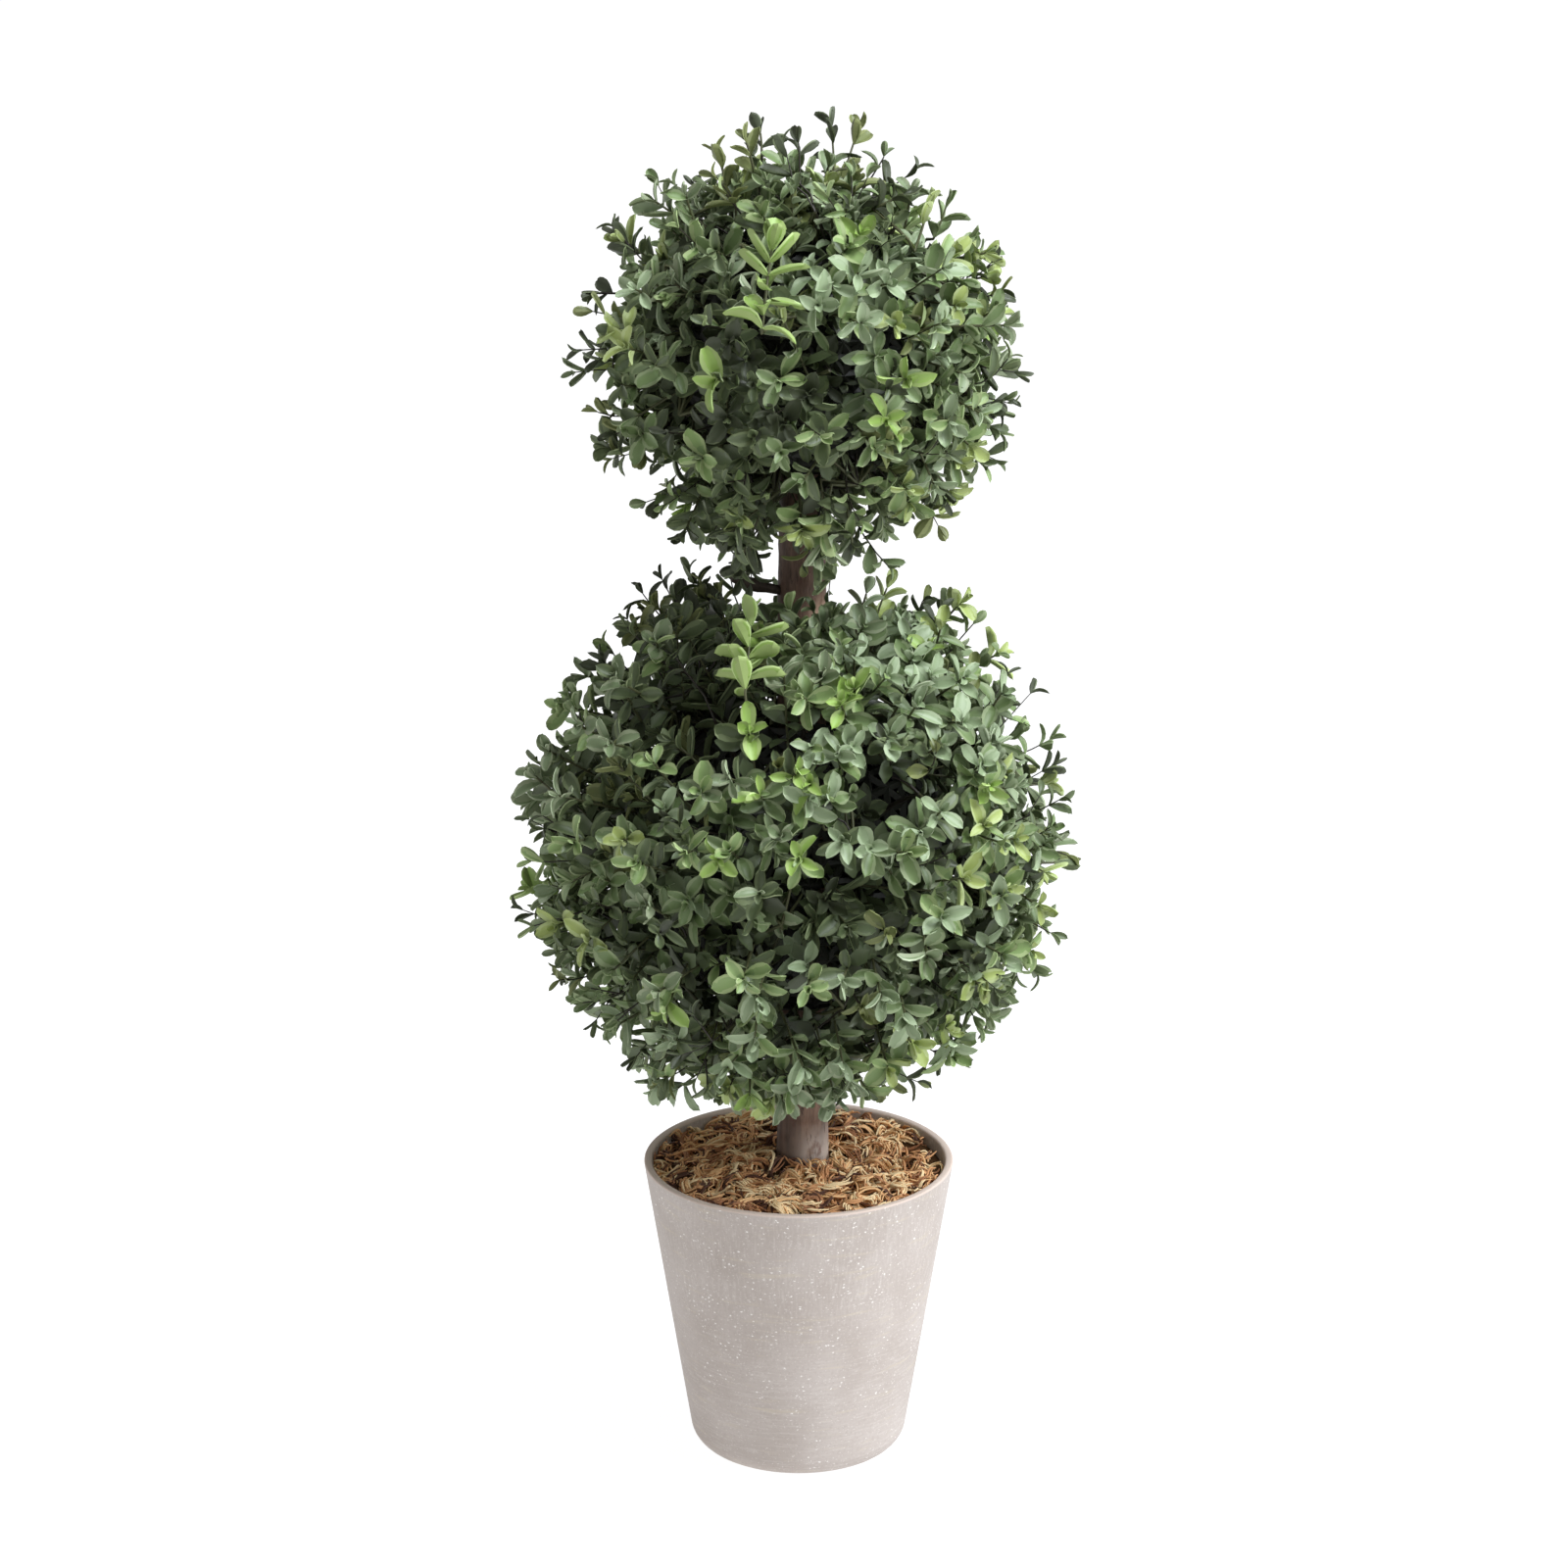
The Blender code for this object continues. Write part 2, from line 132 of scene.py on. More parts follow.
@dataclass(frozen=True)
class Ball:
    """A clipped ball of foliage, as in the solids."""

    name: str
    centre: tuple
    radius: float
    shoots: int
    profile: tuple  # the foliage's reach, in radii, at angles in degrees from straight up
    left_swell: float  # how much further it reaches on the left
    right_dent: float  # how much less it reaches at the upper right
    # the paler shades on the front stand in for light falling on it: painted light
    painted_light_bias: float  # how much of its front is dealt the paler shades, from -1 to 1
    limits: tuple  # lowest and highest point that a leaf may reach
    seed: int
    # places in pixels of the camera's frame
    # the shades of placed tips and sprays are partly the leaves' own colour and partly painted light
    # and shade: pale where light falls, dark where shade falls
    placed_tips: tuple  # sprays that show: their shade, their reach in radii and their places
    sprays: tuple  # longer sprays: their shade, their tip, their root and their kind
    long_tips: tuple  # where a twig stands out of the outline
    # the dark of a hollow is partly painted shade: its leaves are dealt dark shades
    pockets: tuple  # where the foliage opens into a dark hollow: place and width


LOWER = Ball(
    name="lower",
    centre=(-1.2 * MM, 0.0, 312.7 * MM),
    radius=136.0 * MM,
    shoots=80,
    profile=(
        (0.0, 1.0), (18.0, 1.03), (38.0, 1.11), (60.0, 1.04), (120.0, 1.0), (150.0, 0.99),
        (180.0, 0.98),
    ),
    left_swell=0.035,
    right_dent=0.0,
    painted_light_bias=0.12,
    limits=(166.0 * MM, 478.0 * MM),
    seed=21,
    placed_tips=(
        ("fresh", 0.96, (
            (871, 702), (858, 718), (946, 663), (765, 747), (826, 800), (812, 790), (776, 812),
            (733, 877), (817, 877), (678, 1030), (1010, 802), (765, 1118),
        )),
        ("new_green", 0.96, (
            (758, 1000), (745, 868), (925, 870), (650, 880), (700, 870), (825, 1008), (585, 860),
            (575, 720), (970, 1075), (680, 1100), (820, 712),
        )),
        ("lime", 0.93, (
            (1036, 857), (1052, 970), (930, 1064), (968, 1050), (636, 857), (1027, 905),
            (1017, 668), (600, 960), (984, 896), (1000, 1006), (1060, 925), (960, 640), (980, 615),
            (1004, 842), (569, 944), (730, 1100), (906, 1090), (786, 1124), (744, 1110),
        )),
        ("grey_green", 0.98, (
            (844, 640), (832, 650), (858, 660), (570, 812), (622, 758), (590, 740), (560, 766),
            (546, 792), (672, 1012), (775, 912), (640, 700), (800, 690), (838, 690), (880, 640),
            (715, 808), (797, 853), (670, 655), (629, 691), (946, 977), (745, 795), (808, 1112),
            (830, 1120), (850, 1112), (868, 1104), (800, 1128),
        )),
        ("pale_green", 0.95, (
            (668, 1108), (690, 1112), (675, 1062), (930, 672), (950, 690), (928, 700), (900, 1020),
            (925, 1040), (900, 640), (925, 655), (872, 668), (850, 676), (742, 1090), (722, 1110),
            (770, 1060), (772, 1018), (690, 1062), (860, 1085), (820, 1090), (905, 690), (935, 720),
            (960, 760), (940, 850), (860, 1000), (859, 858), (888, 866), (828, 762), (855, 768),
            (982, 737), (1002, 780), (1036, 802), (960, 828), (1019, 859), (961, 936), (843, 817),
            (907, 751), (984, 691), (1022, 708), (1066, 862), (1022, 915), (972, 1064), (870, 762),
            (826, 816),
        )),
        ("olive", 0.97, ((672, 620), (650, 640), (694, 636))),
        ("dark_green", 0.96, (
            (705, 628), (722, 612), (690, 642), (738, 625), (712, 596), (740, 660),
        )),
        ("deep_green", 1.0, (
            (806, 622), (830, 624), (850, 630), (814, 642), (818, 666), (800, 656),
        )),
    ),
    sprays=(
        ("fresh", (766, 632), (762, 712), "stack"),
        ("dark_green", (676, 592), (702, 640), "thin"),
        ("deep_green", (704, 584), (722, 636), "thin"),
        ("dark_green", (656, 606), (690, 655), "thin"),
        ("olive", (716, 600), (726, 652), "thin"),
        ("deep_green", (690, 612), (712, 662), "thin"),
        ("deep_green", (640, 640), (680, 682), "thin"),
        ("dark_green", (668, 640), (702, 690), "thin"),
        ("olive", (736, 606), (740, 655), "thin"),
        ("lime", (905, 600), (888, 640), "full"),
        ("pale_green", (884, 606), (872, 645), "full"),
        ("deep_green", (746, 592), (752, 630), "thin"),
    ),
    long_tips=(
        (632, 618), (610, 647), (571, 705), (539, 767), (526, 828), (526, 877), (519, 922),
        (558, 973), (561, 999), (584, 1025), (600, 1054), (639, 1090), (661, 1109), (703, 1115),
        (739, 1122), (1104, 877), (1094, 809), (1088, 773), (1085, 747), (1062, 696), (1036, 673),
        (1004, 625), (946, 599), (965, 612), (1085, 960), (1068, 1006), (1036, 1019), (1023, 1038),
        (988, 1086), (952, 1109),
    ),
    pockets=(
        (868, 928, 50), (720, 668, 34), (688, 752, 28), (726, 964, 46), (778, 962, 30),
        (891, 812, 17), (682, 857, 26), (632, 925, 22), (630, 832, 24), (840, 955, 28),
        (595, 999, 22), (909, 1041, 26), (979, 888, 24), (788, 775, 18),
    ),
)
UPPER = Ball(
    name="upper",
    centre=(2.0 * MM, 0.0, 569.0 * MM),
    radius=108.0 * MM,
    shoots=54,
    profile=((0.0, 0.96), (35.0, 0.94), (60.0, 0.97), (120.0, 0.99), (152.0, 1.03), (180.0, 1.01)),
    left_swell=0.0,
    right_dent=0.20,
    painted_light_bias=-0.28,
    limits=(434.0 * MM, 684.0 * MM),
    seed=8,
    placed_tips=(
        ("fresh", 0.94, ((878, 240), (732, 387), (904, 429), (925, 387))),
        ("new_green", 0.93, ((866, 252), (716, 468), (893, 458))),
        ("mid_green", 0.92, ((794, 389), (797, 462), (820, 490))),
        ("deep_green", 0.90, ((668, 372), (622, 458), (770, 446), (842, 446))),
        ("dark_green", 0.86, (
            (760, 366), (776, 424), (826, 402), (742, 426), (800, 432), (770, 392), (744, 350),
        )),
        ("lime", 0.92, (
            (630, 335), (640, 355), (635, 245), (1003, 283), (1010, 319), (914, 330), (753, 527),
            (818, 543), (971, 501), (990, 455), (925, 500), (974, 471), (928, 513), (990, 268),
            (1006, 258), (972, 262), (975, 312),
        )),
        ("grey_green", 1.0, (
            (836, 566), (848, 560), (700, 200), (668, 205), (930, 196), (1026, 332),
        )),
        ("dark_green", 1.0, (
            (752, 552), (758, 566), (744, 545), (870, 556), (700, 540), (757, 578),
        )),
        ("pale_green", 0.95, (
            (850, 290), (905, 290), (880, 330), (835, 312), (960, 330), (969, 430), (953, 494),
            (648, 295), (1002, 422), (963, 273), (876, 278),
        )),
    ),
    sprays=(
        ("fresh", (788, 248), (776, 338), "stack"),
        ("dark_green", (776, 136), (782, 180), "full"),
        ("olive", (762, 146), (774, 184), "full"),
        ("dark_green", (800, 148), (812, 192), "thin"),
        ("dark_green", (815, 146), (818, 190), "thin"),
        ("dark_green", (848, 131), (855, 176), "full"),
        ("olive", (875, 134), (861, 176), "full"),
        ("deep_green", (902, 160), (880, 200), "thin"),
        ("dark_green", (933, 174), (892, 206), "thin"),
        ("dark_green", (922, 198), (888, 216), "full"),
        ("olive", (733, 158), (748, 204), "full"),
        ("deep_green", (690, 190), (702, 228), "thin"),
        ("mid_green", (672, 190), (688, 224), "thin"),
        ("lime", (946, 214), (938, 252), "full"),
        ("mid_green", (965, 212), (954, 248), "full"),
        ("dark_green", (756, 590), (762, 548), "thin"),
        ("dark_green", (766, 596), (768, 552), "thin"),
        ("deep_green", (834, 584), (828, 538), "full"),
        ("deep_green", (846, 602), (850, 550), "thin"),
    ),
    long_tips=(
        (617, 218), (995, 231), (1023, 257), (1036, 290), (1036, 314), (589, 314), (596, 298),
        (573, 382), (578, 358), (594, 415), (1052, 382), (1039, 402), (1044, 415), (1034, 449),
        (1031, 475), (612, 444), (609, 470), (643, 517), (669, 522), (690, 553), (711, 559),
        (992, 491), (966, 522), (964, 551), (914, 585), (740, 590),
    ),
    pockets=(
        (706, 328, 44), (815, 412, 42), (784, 446, 36), (760, 350, 30), (782, 372, 24),
        (708, 508, 26), (752, 240, 24), (690, 440, 22), (916, 446, 22), (940, 303, 20),
        (840, 460, 36), (840, 372, 28), (752, 420, 28), (845, 500, 24), (905, 322, 18),
        (862, 398, 22), (690, 262, 24), (682, 378, 28), (622, 462, 22), (770, 428, 34),
        (826, 400, 26),
    ),
)

# Finer shoots
FINE_PER_SHOOT = 7
SEED_STEP = 10000
FRAME_SHARE = 0.55  # radius of the plastic frame inside a ball, in ball radii
FRAME_BAR = 4.2 * MM
FRAME_ROOM = 4.0 * MM  # round the trunk
KNEE_REACH = (0.70, 0.80)  # where main shoots end, in ball radii
FINE_LENGTH = 0.31  # of the fine shoots, in ball radii
DIRECTION_JITTER = 0.10
LEAN = math.radians(32.0)
RISE = 0.22  # how far shoots of the upper half turn upwards
REACH = (0.80, 1.0)
POCKET_DEPTH = 23.0 * MM
TIP_ROOM = 11.0 * MM  # leaves stand this far beyond the end of their twig
WISP_REACH = (0.97, 1.05)
WISPS = 1.1  # loose twigs for each main shoot
WISP_LENGTH = (34.0 * MM, 46.0 * MM)
SPUR_ROOT = (10.0, 24.0)  # how far back on its wisp a spur stands, and its length, in mm
SPUR_LENGTH = (11.0, 17.0)
MAIN_RADII = (1.3 * MM, 1.1 * MM, 0.9 * MM)
# radii in mm: at the tip of a fine shoot and of a wisp, and what each point further back adds
FINE_RADIUS, WISP_RADIUS, RADIUS_STEP = 0.50, 0.26, 0.055
SHORTER = (1.0, 0.6, 0.4)  # a shoot that would run through the trunk is cut to these shares
LEAF_LENGTH = 17.2 * MM
LEAF_PLAY = (14.0, 10.0, 14.0, 24.0)  # of a leaf's turns, in degrees
SIDE_SHARE = 0.84  # share of a tip's leaves that take its own shade
# each pair of leaves on a shoot: distance back from its tip in mm, angle to it, size
TIP_PAIRS = ((0.0, 20.0, 0.48), (1.6, 47.0, 0.80), (5.5, 61.0, 1.0))
BACK_PAIRS = ((12.0, 60.0, 1.0), (19.5, 62.0, 0.95))
DEEP_PAIRS = ((28.0, 66.0, 0.95), (37.0, 70.0, 0.9))
LEAFY_PAIRS = (*TIP_PAIRS, *BACK_PAIRS, *DEEP_PAIRS)
WISP_PAIRS = ((0.0, 30.0, 0.52), (6.0, 50.0, 0.74), (16.5, 58.0, 0.86), (27.0, 60.0, 0.84))
SPUR_PAIRS = ((0.0, 28.0, 0.56), (6.0, 46.0, 0.70))
SPRAY_PAIRS = {
    "stack": (
        (0.0, 26.0, 0.72), (4.0, 46.0, 0.96), (9.5, 58.0, 1.08),
        (15.5, 64.0, 1.10), (21.5, 66.0, 1.10), (27.5, 68.0, 1.10),
        (33.5, 68.0, 1.08), (39.5, 68.0, 1.06), (45.5, 66.0, 1.02),
    ),
    "full": ((0.0, 26.0, 0.60), (7.0, 46.0, 0.84), (17.0, 54.0, 0.92), (28.0, 58.0, 0.92)),
    "thin": WISP_PAIRS,
}
WISP_BARE = 0.30  # share of a wisp's leaves that are missing
BARE = 0.10  # and of the other leaves behind a tip
TRUNK_ROOM = 1.5 * MM

# Shapes of the moulded leaves, in leaf lengths: width, cup, arch, droop, how wide the tip is cut,
# how far its point stands out, and the twist in degrees
LEAF_SHAPES = {
    "broad": (0.56, 0.10, 0.05, 0.06, 0.24, 0.04, 6.0),
    "spoon": (0.52, 0.15, -0.02, -0.12, 0.21, 0.02, 12.0),
    "notched": (0.55, 0.12, 0.07, 0.20, 0.38, -0.04, -10.0),
    "pointed": (0.45, 0.12, 0.03, 0.04, 0.10, 0.05, 18.0),
    "drooped": (0.50, 0.11, 0.10, 0.32, 0.24, 0.02, -14.0),
    "twisted": (0.47, 0.13, 0.03, 0.12, 0.16, 0.03, 42.0),
    "narrow": (0.33, 0.09, 0.10, 0.26, 0.08, 0.06, 20.0),
}
BLADES = (0, 1, 1, 2, 3, 3, 4, 5)  # how the shapes are dealt out, by their numbers
WISP_BLADES = (6, 6, 3, 1)
DEEP_BLADE = 7  # the plainer one for the deep leaves
UNDERSIDE_SAG = 0.035  # in leaf lengths
LEAF_STATIONS = (0.0, 0.14, 0.34, 0.55, 0.75, 0.91, 1.0)
LEAF_WIDTHS = (0.10, 0.40, 0.77, 1.0, 0.96, 0.67)

# Shades: heart (the lower part of the blade), blade, margin and underside
SHADES = {
    "fresh": ("#728B40", "#87A450", "#B2C984", "#90A462"),
    "lime": ("#818F50", "#98A75F", "#BAC88C", "#A5B27A"),
    "new_green": ("#6C8450", "#7B925A", "#AEBE8A", "#92A270"),
    "mid_green": ("#5C6F42", "#677B4D", "#A2B084", "#808E68"),
    "grey_green": ("#657552", "#6F7F5C", "#AEBA9A", "#889274"),
    "pale_green": ("#798A67", "#859673", "#BDC9A9", "#96A584"),
    "olive": ("#565F32", "#626B3B", "#989F6C", "#777E4E"),
    "deep_green": ("#485436", "#515E3E", "#909C74", "#66724E"),
    "dark_green": ("#343B28", "#3B432C", "#6C7656", "#434A35"),
}
SHADE_NAMES = list(SHADES)
PARTS = 4  # parts of a leaf that take their own material
PIECE_TRIANGLES = 185000
# what a shoot's tip is: shade names with their shares
# the right deal is paler for the lit right and top, the left deal darker for the shaded left:
# painted light and shade
LIT_SIDE_DEAL = (("new_green", 0.16), ("pale_green", 0.27), ("grey_green", 0.26), ("lime", 0.11),
              ("mid_green", 0.16), ("deep_green", 0.04))
SHADED_SIDE_DEAL = (("mid_green", 0.30), ("grey_green", 0.28), ("deep_green", 0.20), ("olive", 0.08),
             ("new_green", 0.07), ("pale_green", 0.07))
FAR_DEAL = (("fresh", 0.10), ("lime", 0.05), *SHADED_SIDE_DEAL)
BACK_DEAL = (("mid_green", 0.22), ("grey_green", 0.28), ("pale_green", 0.10), ("olive", 0.05),
             ("deep_green", 0.35))
DEEP_DEAL = (("deep_green", 0.65), ("dark_green", 0.35))
# leaves deep in a hollow take dark shades: painted shade
POCKET_PAINTED_SHADE_DEAL = (("dark_green", 0.5), ("deep_green", 0.5))
WISP_DEAL = (("dark_green", 0.30), ("deep_green", 0.30), ("mid_green", 0.16), ("olive", 0.14),
             ("new_green", 0.10))


# ---------------------------------------------------------------- helpers


def linear(hex_colour):
    """An sRGB hex colour as the linear colour that a socket takes."""
    channels = [int(hex_colour[i : i + 2], 16) / 255.0 for i in (1, 3, 5)]
    return (*[c / 12.92 if c <= 0.04045 else ((c + 0.055) / 1.055) ** 2.4 for c in channels], 1.0)


def add_node(tree, kind, inputs=(), **settings):
    """Adds a node with its settings. Each input is a value, an output to link, or a node."""
    made = tree.nodes.new(kind)
    for name, value in settings.items():
        setattr(made, name, value)
    for key, value in dict(inputs).items():
        if isinstance(value, bpy.types.Node):
            value = next(output for output in value.outputs if output.enabled)
        if isinstance(value, bpy.types.NodeSocket):
            tree.links.new(value, made.inputs[key])
        else:
            made.inputs[key].default_value = value
    return made


def new_material(name, colour, roughness, specular=0.5):
    """A material with a Principled shader: (material, its node tree, the shader)."""
    made = bpy.data.materials.new(name)
    made.use_nodes = True
    shader = made.node_tree.nodes["Principled BSDF"]
    shader.inputs["Base Color"].default_value = linear(colour)
    shader.inputs["Roughness"].default_value = roughness
    shader.inputs["Specular IOR Level"].default_value = specular
    return made, made.node_tree, shader


def dress(tree, shader, colour, relief, strength, depth):
    """Gives a shader its colour, if it has a pattern, and its relief."""
    settings = {"Strength": strength, "Distance": depth, "Height": relief}
    bump = add_node(tree, "ShaderNodeBump", settings)
    tree.links.new(bump.outputs[0], shader.inputs["Normal"])
    if colour:
        tree.links.new(colour.outputs[2], shader.inputs["Base Color"])


def deselect():
    if bpy.context.mode != "OBJECT":
        bpy.ops.object.mode_set(mode="OBJECT")
    bpy.ops.object.select_all(action="DESELECT")


def select_only(piece):
    deselect()
    piece.select_set(True)
    bpy.context.view_layer.objects.active = piece


def start_edit(piece):
    """Goes into edit mode on one piece, with nothing selected."""
    select_only(piece)
    bpy.ops.object.mode_set(mode="EDIT")
    bpy.ops.mesh.select_all(action="DESELECT")


def pick(piece, test, kind="verts"):
    """Selects the corners, edges or faces whose corners all pass a test of their place."""
    shape = bmesh.from_edit_mesh(piece.data)
    for part in (shape.verts, shape.edges, shape.faces):
        for item in part:
            item.select_set(False)
    for item in getattr(shape, kind):
        corners = [item] if kind == "verts" else item.verts
        if all(test(corner.co) for corner in corners):
            item.select_set(True)
    bmesh.update_edit_mesh(piece.data)


def select_mode(kind):
    bpy.ops.mesh.select_mode(type=kind)


def end_edit():
    bpy.ops.object.mode_set(mode="OBJECT")


def apply_place(piece):
    """Moves a piece's place, turn and scale into its mesh."""
    select_only(piece)
    bpy.ops.object.transform_apply(location=True, rotation=True, scale=True)


def apply_modifiers(piece):
    select_only(piece)
    for modifier in list(piece.modifiers):
        bpy.ops.object.modifier_apply(modifier=modifier.name)


def shade(piece, degrees):
    select_only(piece)
    bpy.ops.object.shade_smooth_by_angle(angle=math.radians(degrees))


def roughen(piece, name, width, height, detail):
    """Gives a piece real lumps, so wide and so high."""
    lumps = piece.modifiers.new(name, "DISPLACE")
    lumps.texture = bpy.data.textures.new(name, "CLOUDS")
    lumps.texture.noise_scale = width
    lumps.texture.noise_depth = detail
    lumps.strength = height


def place_new(name, data):
    """Puts new data in the scene as an object."""
    made = bpy.data.objects.new(name, data)
    bpy.context.scene.collection.objects.link(made)
    return made


def finish_piece(piece, name, replaced=None):
    piece.name = name
    piece.data.name = name
    if replaced:
        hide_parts(replaced)
    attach(piece, "root")


def turned_frame(axis, roll):
    """A frame whose X lies along axis, turned about it by roll."""
    along = axis.normalized()
    side = Vector((0.0, 0.0, 1.0)) if abs(along.z) < 0.9 else Vector((1.0, 0.0, 0.0))
    across = side.cross(along).normalized()
    base = Matrix((along, across, along.cross(across))).transposed()
    return base @ Matrix.Rotation(roll, 3, "X")


def between(rows, place):
    """Reads a value off rows of (place, value)."""
    for (low, first), (high, second) in zip(rows, rows[1:]):
        if place <= high:
            return first + (second - first) * (place - low) / (high - low)
    return rows[-1][1]


def deal(chance, shares):
    """Draws a name by its share."""
    return chance.choices([name for name, _ in shares], [share for _, share in shares])[0]


# ---------------------------------------------------------------- materials

NOISE = "ShaderNodeTexNoise"
RANGE = "ShaderNodeMapRange"
MIX = "ShaderNodeMix"
MATH = "ShaderNodeMath"
VECTOR_MATH = "ShaderNodeVectorMath"


def pot_composite():
    """Stone-look composite, moulded: matt pinkish grey with pale mineral flakes at the surface, and
    a painted highlight along the lip.
    """
    made, tree, shader = new_material("stone_look_composite", "#C6BAB3", 0.66, 0.42)
    place = add_node(tree, "ShaderNodeTexCoord").outputs["Object"]
    height = add_node(tree, "ShaderNodeSeparateXYZ", {0: place}).outputs[2]
    # mould streaks: upright near the rim, level strokes further down
    upright = add_node(tree, "ShaderNodeMapping", {"Vector": place, "Scale": (1.0, 1.0, 0.08)})
    level = add_node(tree, "ShaderNodeMapping", {"Vector": place, "Scale": (0.10, 0.10, 1.0)})
    grit, cloud, streaks, strokes, stain, ragged, drift = (
        add_node(tree, NOISE, {"Vector": where, "Scale": 1 / (width * MM), "Detail": detail})
        for where, width, detail in (
            (place, 1.3, 4.0), (place, 38.0, 4.0), (upright, 1.3, 3.0), (level, 1.1, 3.0),
            (level, 2.6, 2.0), (place, 0.9, 2.0), (place, 17.0, 2.0),
        )
    )
    above = add_node(tree, RANGE, {0: height, 1: 60 * MM, 2: 110 * MM})
    drawn = add_node(tree, MIX, {0: above, 2: strokes, 3: streaks})
    # flakes 0.5 to 1.2 mm wide with ragged edges, wider than they are tall, in drifts
    push = {0: ragged.outputs[1], 1: (1.4 * MM, 1.4 * MM, 1.4 * MM), 2: place}
    pushed = add_node(tree, VECTOR_MATH, push, operation="MULTIPLY_ADD")
    squat = add_node(tree, "ShaderNodeMapping", {"Vector": pushed, "Scale": (1.0, 1.0, 1.6)})
    flakes = add_node(tree, "ShaderNodeTexVoronoi", {"Vector": squat, "Scale": 1 / (3.6 * MM)})
    dust = add_node(tree, "ShaderNodeTexVoronoi", {"Vector": squat, "Scale": 1 / (1.9 * MM)})
    raised = add_node(tree, RANGE, {0: height, 1: 10 * MM, 2: 120 * MM, 4: 0.10})
    drifted = add_node(tree, MATH, {0: drift, 1: raised}, operation="ADD")
    tone, rubbed, gritted, stained, flake, speck, cluster, lip = (
        add_node(tree, RANGE, {0: source, 1: low, 2: high, 3: first, 4: last})
        for source, low, high, first, last in (
            (cloud, 0.36, 0.64, 0.0, 1.0), (drawn, 0.50, 0.72, 0.0, 0.44),
            (grit, 0.52, 0.70, 0.0, 0.30), (stain, 0.60, 0.72, 0.0, 0.32),
            (flakes, 0.12, 0.21, 1.0, 0.0), (dust, 0.10, 0.24, 0.45, 0.0),
            (drifted, 0.53, 0.64, 0.0, 1.0),
            # the lip's band, painted paler and warmer as a highlight
            (height, POT_HEIGHT - 1.3 * MM, POT_HEIGHT - 0.5 * MM, 0.0, 1.0),
        )
    )
    flecks = add_node(tree, MATH, {0: flake, 1: cluster}, operation="MULTIPLY")
    bright = add_node(tree, MATH, {0: flecks, 1: speck}, operation="MAXIMUM")
    shown = linear("#B4A9A2")
    # clouds, rubbed streaks, grit, warm stains, flakes, and a painted highlight along the lip, paler
    # and warmer
    for mask, colour in (
        (tone, "#C0B6B0"), (rubbed, "#D1C9C3"), (gritted, "#A3968F"),
        (stained, "#CFC3AC"), (bright, "#EFEAE6"), (lip, "#D9C6BA"),
    ):
        shown = add_node(tree, MIX, {0: mask, 6: shown, 7: linear(colour)}, data_type="RGBA")
    relief = add_node(tree, MATH, {0: flecks, 1: drawn}, operation="ADD")
    dress(tree, shader, shown, relief, 0.28, 0.25 * MM)
    return made


def cast_cement():
    """Cast cement: matt grey with fine pores."""
    made, tree, shader = new_material("cast_cement", "#8F8C86", 0.92, 0.3)
    place = add_node(tree, "ShaderNodeTexCoord").outputs["Object"]
    pores = add_node(tree, NOISE, {"Vector": place, "Scale": 1 / (2 * MM), "Detail": 4.0})
    dress(tree, shader, None, pores, 0.4, 0.3 * MM)
    return made


def coir_bed():
    """Matted coir under the loose strands: dark brown, fibrous, quite without gloss."""
    made, tree, shader = new_material("matted_coir", "#3E2C1E", 1.0, 0.1)
    place = add_node(tree, "ShaderNodeTexCoord").outputs["Object"]
    weave = {"Vector": place, "Scale": 1 / (3 * MM), "Detail": 6.0, "Distortion": 2.5}
    fibres = add_node(tree, NOISE, weave)
    ends = {6: linear("#1E150E"), 7: linear("#6B4A2C")}
    mixed = add_node(tree, MIX, {0: fibres, **ends}, data_type="RGBA")
    dress(tree, shader, mixed, fibres, 1.0, 1.0 * MM)
    return made


